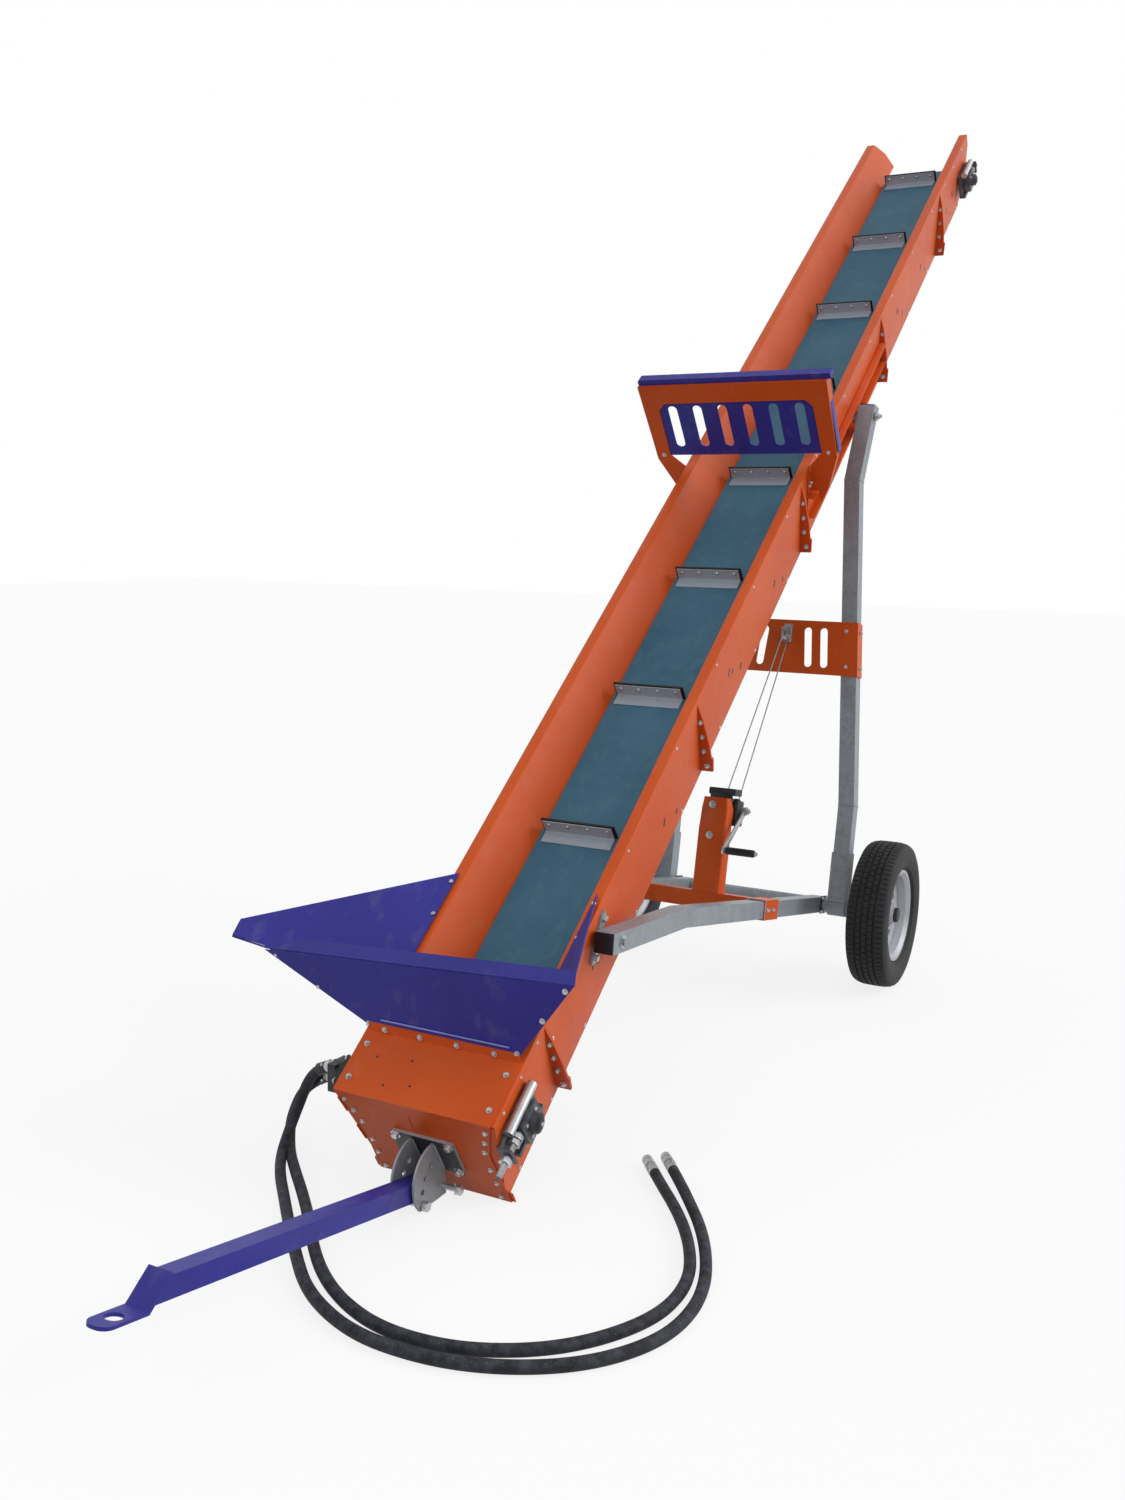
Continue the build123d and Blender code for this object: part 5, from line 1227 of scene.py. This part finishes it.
class CONVEYOR_OT_winch(bpy.types.Operator):
    """Builds the winch post, the winch with its gear, crank and grip, and the lifting rope"""

    bl_idname = "conveyor.winch"
    bl_label = "Winch and rope"

    def execute(self, context):
        self.post()
        self.body()
        self.rope(context.scene.conveyor_sizes.rope / 2)
        return {"FINISHED"}

    def post(self):
        """A channel of folded sheet, its web towards the tail and its upper corners cut off."""
        bm, bright, welds = bmesh.new(), bmesh.new(), bmesh.new()
        half, deep = 0.052, 0.031
        row = [bm.verts.new(POST + ACROSS * x + BACK * y)
               for x, y in ((-half, deep), (-half, -deep), (half, -deep), (half, deep))]
        edges = [bm.edges.new(pair) for pair in zip(row, row[1:])]
        for step in (0.225, 0.080, 0.040):
            verts, edges = draw_out(bm, edges, ARM_UP * step)
        top = [v for v in verts if (v.co - POST).dot(BACK) > 0]
        bmesh.ops.translate(bm, verts=top, vec=-BACK * 0.034)
        for v in verts:
            if v not in top:
                v.co += ACROSS * (0.012 if (v.co - POST).x < 0 else -0.004)
        ease(bm, folds_along(bm, ARM_UP, 0.7), 0.006, 3)
        bmesh.ops.recalc_face_normals(bm, faces=bm.faces)
        bmesh.ops.solidify(bm, geom=bm.faces[:], thickness=0.0045)
        for up in (0.206, 0.318):
            web = POST + ARM_UP * up - BACK * 0.0312 - ACROSS * 0.006
            disc(bright, spot(web, -BACK), 0.0135, 0.0022, 26)
            hex_bolt(bright, spot(web - BACK * 0.002, -BACK), 0.015, 0.010)
        left, right = (POST - BACK * deep + ACROSS * x for x in (-half, half))
        bead(welds, (left, right), 0.003)
        bead(welds, (right, right + BACK * deep * 2), 0.003)
        add_piece("winch_stand", bm, "orange_coat", "chassis", "winch_post")
        add_piece("winch_bolts", bright, "plated_steel", "chassis")
        add_piece("post_welds", welds, "orange_coat", "chassis", sharp=60.0)

    def body(self):
        """Side plates, drum, toothed gear and crank."""
        dark, bright, grip = bmesh.new(), bmesh.new(), bmesh.new()
        lug = WINCH + ACROSS * 0.056 - BACK * 0.006 - ARM_UP * 0.012
        bar(dark, spot(lug, ACROSS, BACK), (0.062, 0.094, 0.022), 0.006)
        for side in SIDES:
            middle = WINCH + ACROSS * side * 0.0415
            disc(dark, spot(middle - ACROSS * 0.0022, ACROSS), 0.0435, 0.0044, 40, rim=0.0008)
            bar(dark, spot(middle - BACK * 0.0225, ACROSS, BACK), (0.045, 0.084, 0.0044), 0.001)
        bar(dark, spot(WINCH - BACK * 0.0425, -BACK), (0.088, 0.118, 0.005), 0.002)
        rod(dark, WINCH - ACROSS * 0.039, WINCH + ACROSS * 0.039, DRUM_R, 28)
        gear, teeth = WINCH + ACROSS * 0.047, 30
        disc(dark, spot(gear, ACROSS), 0.0385, 0.007, 36)
        for i in range(teeth):
            out = round_about(math.tau * i / teeth)
            tooth = spot(gear + ACROSS * 0.0035 + out * 0.0395, out, ACROSS)
            bar(dark, tooth, (0.007, 0.0042, 0.006), 0.0008)
        rod(bright, WINCH + ACROSS * 0.044, WINCH + ACROSS * 0.094, 0.0090, 20)
        hex_bolt(bright, spot(WINCH + ACROSS * 0.0865, ACROSS), 0.019, 0.010, stud=0.004)
        reach, length = -round_about(math.radians(27)), 0.232
        hub = WINCH + ACROSS * 0.082
        tip = hub + reach * length
        bar(bright, spot(hub + reach * length / 2, ACROSS, reach), (length, 0.024, 0.0076), 0.003)
        for end in (hub, tip):
            disc(bright, spot(end - ACROSS * 0.0038, ACROSS), 0.0148, 0.0076, 28, rim=0.0012)
        rod(bright, tip, tip + ACROSS * 0.126, 0.0052, 14)
        disc(bright, spot(tip + ACROSS * 0.119, ACROSS), 0.0085, 0.004, 18, rim=0.001)
        bmesh.ops.create_cone(grip, cap_ends=True, segments=28, radius1=0.0135, radius2=0.0135,
                              depth=0.108)
        ends = [e for e in grip.edges if len(e.link_faces) == 2 and e.calc_face_angle() > 1]
        ease(grip, ends, 0.004, 4)
        join(grip, grip.verts, spot(tip + ACROSS * 0.062, ACROSS))
        add_piece("winch_body", dark, "black_casting", "chassis", "winch")
        add_piece("winch_crank", bright, "plated_steel", "chassis")
        add_piece("crank_grip", grip, "black_plastic", "chassis")

    def rope(self, radius):
        """The rope: turns on the drum, up over the pulley and back to its clamped end."""
        laps, steps, wide = 12, 26, 0.066
        turns = [WINCH + ACROSS * wide * (i / (laps * steps) - 0.5)
                 + round_about(math.tau * i / steps) * (DRUM_R + radius) for i in range(laps * steps)]
        round_line("rope_on_drum", turns, radius, "wire_rope", "chassis", 3)
        way = (PULLEY - WINCH).normalized()
        fore = ACROSS.cross(way)
        if fore.y > 0:
            fore = -fore
        sheave = 0.018 + radius
        start = WINCH + fore * 0.026
        anchor = POST + ARM_UP * 0.075 + BACK * 0.040 + ACROSS * 0.012
        on, off = PULLEY - ACROSS * 0.004 + fore * sheave, PULLEY + ACROSS * 0.004 - fore * sheave
        first = [start.lerp(on, i / 16) for i in range(17)]
        over = [PULLEY + (fore * math.cos(a) + way * math.sin(a)) * sheave
                for a in (math.pi * i / 12 for i in range(1, 12))]
        back = [off.lerp(anchor, i / 16) for i in range(17)]
        rope = round_line("lifting_rope", first + over + back, radius, "wire_rope", None, 3)
        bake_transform(rope)
        # the rope's end is turned back round a bolt and clamped
        loop = [anchor + (way * math.cos(a) * 1.6 - BACK * math.sin(a)) * 0.010 - way * 0.012
                for a in (math.tau * i / 18 for i in range(18))]
        end = loop + [anchor + way * 0.05 + BACK * 0.004]
        round_line("rope_end", end, radius, "wire_rope", "chassis", 3)
        clips, rim = bmesh.new(), bmesh.new()
        for up in (0.018, 0.036):
            clip = anchor + way * up
            bar(clips, spot(clip + BACK * 0.002, way), (0.012, 0.017, 0.010), 0.002)
            rod(clips, clip - ACROSS * 0.011, clip + ACROSS * 0.011, 0.003, 10)
        disc(clips, spot(anchor - way * 0.012 - ACROSS * 0.008, ACROSS), 0.0075, 0.016, 6, rim=0.001)
        for x in (-0.0085, 0.0060):
            disc(rim, spot(PULLEY + ACROSS * x, ACROSS), 0.0225, 0.0025, 30, rim=0.0008)
        disc(rim, spot(PULLEY - ACROSS * 0.017, ACROSS), 0.006, 0.034, 6, rim=0.001)
        add_piece("rope_clips", clips, "plated_steel", "chassis")
        add_piece("pulley_rims", rim, "plated_steel", "struts")


class CONVEYOR_OT_wheels(bpy.types.Operator):
    """Builds the tyres with their ribs and sipes, and the wheels' nuts, caps and valves"""

    bl_idname = "conveyor.wheels"
    bl_label = "Wheels"

    def execute(self, context):
        deep = context.scene.conveyor_sizes.tread
        for name, side in (("right", 1), ("left", -1)):
            hub = AXLE + ACROSS * side * WHEEL_X
            body = f"wheel_{name}"
            self.tyre(name, hub, body, deep)
            bright, dark = bmesh.new(), bmesh.new()
            out = ACROSS * side
            for i in range(5):
                at = hub + out * 0.0085 + round_about(math.tau * (i + 0.25) / 5) * 0.062
                disc(bright, spot(at - out * 0.004, out), 0.0135, 0.006, 24, top=0.0115)
                hex_bolt(bright, spot(at, out), 0.019, 0.012, washer=False, stud=0.004)
            disc(bright, spot(hub + out * 0.040, out), 0.0345, 0.004, 32, rim=0.001)
            disc(dark, spot(hub + out * 0.0422, out), 0.0300, 0.016, 36, top=0.0265, rim=0.004)
            valve = spot(hub + out * 0.0100 + Vector((0, 0, 0.128)), (0.75 * side, 0, 0.4))
            disc(dark, valve, 0.0045, 0.030, 14, top=0.0032, rim=0.0005)
            add_piece(f"wheel_nuts_{name}", bright, "plated_steel", body)
            add_piece(f"hub_cap_{name}", dark, "black_plastic", body)
        return {"FINISHED"}

    def tyre(self, name, hub, body, deep):
        """Spins the tyre's section, then sinks narrow sipes into its ribs."""
        bm = bmesh.new()
        side = [(0.050, 0.1655), (0.051, 0.1775), (0.059, 0.1800), (0.0655, 0.1870), (0.0690, 0.1890),
                (0.0735, 0.2050), (0.0768, 0.2250), (0.0772, 0.2400), (0.0745, 0.2560), (0.0700, 0.2665),
                (0.0690, 0.2672), (0.0655, 0.2705), (0.0560, 0.2752), (0.0380, 0.2785)]
        for groove, r in ((0.034, 0.2790), (0.012, 0.2797)):
            side += [(groove + 0.0040, r), (groove + 0.0030, r - deep),
                     (groove - 0.0030, r - deep), (groove - 0.0040, r)]
        section = [(-w, r) for w, r in side] + [(w, r) for w, r in reversed(side)]
        row = [bm.verts.new(hub + ACROSS * w + Vector((0, 0, r))) for w, r in section]
        edges = [bm.edges.new(pair) for pair in zip(row, row[1:] + row[:1])]
        steps = 420
        bmesh.ops.spin(bm, geom=row + edges, cent=hub, axis=ACROSS, angle=math.tau, steps=steps,
                       use_merge=True)
        bmesh.ops.remove_doubles(bm, verts=bm.verts, dist=0.00002)
        bmesh.ops.recalc_face_normals(bm, faces=bm.faces)
        sipes = []
        for face in bm.faces:
            centre = face.calc_center_median() - hub
            w, r = abs(centre.x), math.hypot(centre.y, centre.z)
            step = int(steps * (math.atan2(centre.z, centre.y) / math.tau + 1))
            crown = r > 0.2788 and w < 0.031
            shoulder = 0.2715 < r < 0.2795 and 0.0375 < w < 0.0655
            if (crown and step % 6 == (0 if w > 0.016 else 3)) or (shoulder and step % 5 == 0):
                sipes.append(face)
        bmesh.ops.inset_individual(bm, faces=sipes, thickness=0.0009, depth=-deep * 0.5)
        add_piece(f"ribbed_tyre_{name}", bm, "tyre_rubber", body, f"tyre_{name}", 28.0)


class CONVEYOR_OT_hitch(bpy.types.Operator):
    """Adds the pins' nuts and clips, the welds of the clevis, and a thin dark base plate under it:
    partly its dark paint, partly painted shade
    """

    bl_idname = "conveyor.hitch"
    bl_label = "Hitch details"

    def execute(self, context):
        base, bright, welds = bmesh.new(), bmesh.new(), bmesh.new()
        for node in ("hitch_pin", "lock_pin"):
            low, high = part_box(node)
            middle = (low + high) / 2
            for x, out in ((high.x - 0.012, ACROSS), (low.x + 0.012, -ACROSS)):
                disc(bright, spot(Vector((x, middle.y, middle.z)), out), 0.0135, 0.0125, 6, rim=0.0012)
            start, end = (Vector((high.x - 0.020, middle.y, middle.z + z)) for z in (-0.016, 0.016))
            rod(bright, start, end, 0.0022, 8)
        for side in SIDES:
            for x in (0.0295, 0.0365):
                line = [on_end(side * x, n, 0.0088).translation for n in (0.012, -0.085)]
                bead(welds, line, 0.0026)
        # a thin black plate on the end plate's face: the base plate's dark paint and painted shade in
        # one
        bar(base, on_end(0.0, -0.034, 0.0084), (0.190, 0.121, 0.0016), 0.0006)
        add_piece("hitch_base_and_shade", base, "black_casting")
        add_piece("hitch_fasteners", bright, "plated_steel")
        add_piece("hitch_welds", welds, "dark_zinc", sharp=60.0)
        refinish("hitch_clevis", "dark_zinc")
        return {"FINISHED"}


class CONVEYOR_OT_stage(bpy.types.Operator):
    """Builds the pale floor, the surround and the studio light"""

    bl_idname = "conveyor.stage"
    bl_label = "Stage"

    def execute(self, context):
        colours = context.scene.conveyor_colours
        bm = bmesh.new()
        bmesh.ops.create_grid(bm, x_segments=1, y_segments=1, size=30.0)
        f = Finish("studio_floor")
        grain = f.noise(f.place(), 900.0, 2.0)
        path = f.tree.nodes.new("ShaderNodeLightPath")
        seen = Wire(f, path.outputs["Is Camera Ray"])
        glossy = Wire(f, path.outputs["Is Glossy Ray"])
        shown = f.node("ShaderNodeMath", {"operation": "MAXIMUM"}, {0: seen, 1: glossy})
        pale = f.mix(shown, srgb(150, 150, 152), tuple(colours.floor))
        base = f.node("ShaderNodeBsdfDiffuse", None, {"Color": pale})
        clear = f.node("ShaderNodeEmission", None, {"Color": WHITE, "Strength": 1.0})
        share = shown * (0.82 + grain * 0.002)
        cover = f.node("ShaderNodeMixShader", None, {0: share, 1: base, 2: clear})
        end = f.tree.nodes.new("ShaderNodeOutputMaterial")
        f.tree.links.new(cover.socket, end.inputs[0])
        floor = make_piece("studio_floor", bm, f.material, None)

        world = bpy.data.worlds.new("studio")
        context.scene.world = world
        world.use_nodes = True
        nodes, links = world.node_tree.nodes, world.node_tree.links
        nodes.clear()
        path = nodes.new("ShaderNodeLightPath")
        seen = nodes.new("ShaderNodeMath")
        seen.operation = "MAXIMUM"
        links.new(path.outputs["Is Camera Ray"], seen.inputs[0])
        links.new(path.outputs["Is Glossy Ray"], seen.inputs[1])
        mixed = nodes.new("ShaderNodeMixShader")
        links.new(seen.outputs[0], mixed.inputs[0])
        # dim and cool for the light it gives, white where it is seen
        for i, colour, strength in ((1, (0.93, 0.96, 1.0, 1.0), 0.74), (2, WHITE, 1.0)):
            sky = nodes.new("ShaderNodeBackground")
            sky.inputs[0].default_value = colour
            sky.inputs[1].default_value = strength
            links.new(sky.outputs[0], mixed.inputs[i])
        out = nodes.new("ShaderNodeOutputWorld")
        links.new(mixed.outputs[0], out.inputs[0])
        for name, kind, place, energy, wide in (("sun_light", "SUN", SUN_FROM, 1.45, 0.6),
                                                ("fill_light", "AREA", FILL_FROM, 60.0, 5.0)):
            data = bpy.data.lights.new(name, kind)
            data.energy = energy
            if kind == "SUN":
                data.angle = wide
            else:
                data.size = wide
            lamp = bpy.data.objects.new(name, data)
            turn = (Vector(LIGHTS_AIM) - Vector(place)).to_track_quat("-Z", "Y")
            lamp.matrix_world = Matrix.Translation(place) @ turn.to_matrix().to_4x4()
            context.scene.collection.objects.link(lamp)
        context.scene.view_settings.view_transform = "Standard"
        return {"FINISHED"}


class CONVEYOR_PT_panel(bpy.types.Panel):
    """Lists the conveyor's pieces in the sidebar"""

    bl_idname = "CONVEYOR_PT_panel"
    bl_label = "Firewood conveyor"
    bl_space_type = "VIEW_3D"
    bl_region_type = "UI"
    bl_category = "Conveyor"

    def draw(self, context):
        for group in (context.scene.conveyor_sizes, context.scene.conveyor_colours):
            for name in group.__annotations__:
                self.layout.prop(group, name)
        for operator in OPERATORS:
            self.layout.operator(operator.bl_idname)


OPERATORS = (
    CONVEYOR_OT_finishes,
    CONVEYOR_OT_camera,
    CONVEYOR_OT_hoses,
    CONVEYOR_OT_belt,
    CONVEYOR_OT_fasteners,
    CONVEYOR_OT_trough,
    CONVEYOR_OT_sheet_details,
    CONVEYOR_OT_hopper,
    CONVEYOR_OT_guard,
    CONVEYOR_OT_takeups,
    CONVEYOR_OT_motor,
    CONVEYOR_OT_chassis,
    CONVEYOR_OT_struts,
    CONVEYOR_OT_winch,
    CONVEYOR_OT_wheels,
    CONVEYOR_OT_hitch,
    CONVEYOR_OT_stage,
)
CLASSES = (ConveyorSizes, ConveyorColours) + OPERATORS + (CONVEYOR_PT_panel,)


def register():
    for item in CLASSES:
        bpy.utils.register_class(item)
    bpy.types.Scene.conveyor_sizes = bpy.props.PointerProperty(type=ConveyorSizes)
    bpy.types.Scene.conveyor_colours = bpy.props.PointerProperty(type=ConveyorColours)


def unregister():
    del bpy.types.Scene.conveyor_sizes
    del bpy.types.Scene.conveyor_colours
    for item in reversed(CLASSES):
        bpy.utils.unregister_class(item)


def main():
    register()
    for operator in OPERATORS:
        group, name = operator.bl_idname.split(".")
        getattr(getattr(bpy.ops, group), name)()


if __name__ == "__main__":
    main()
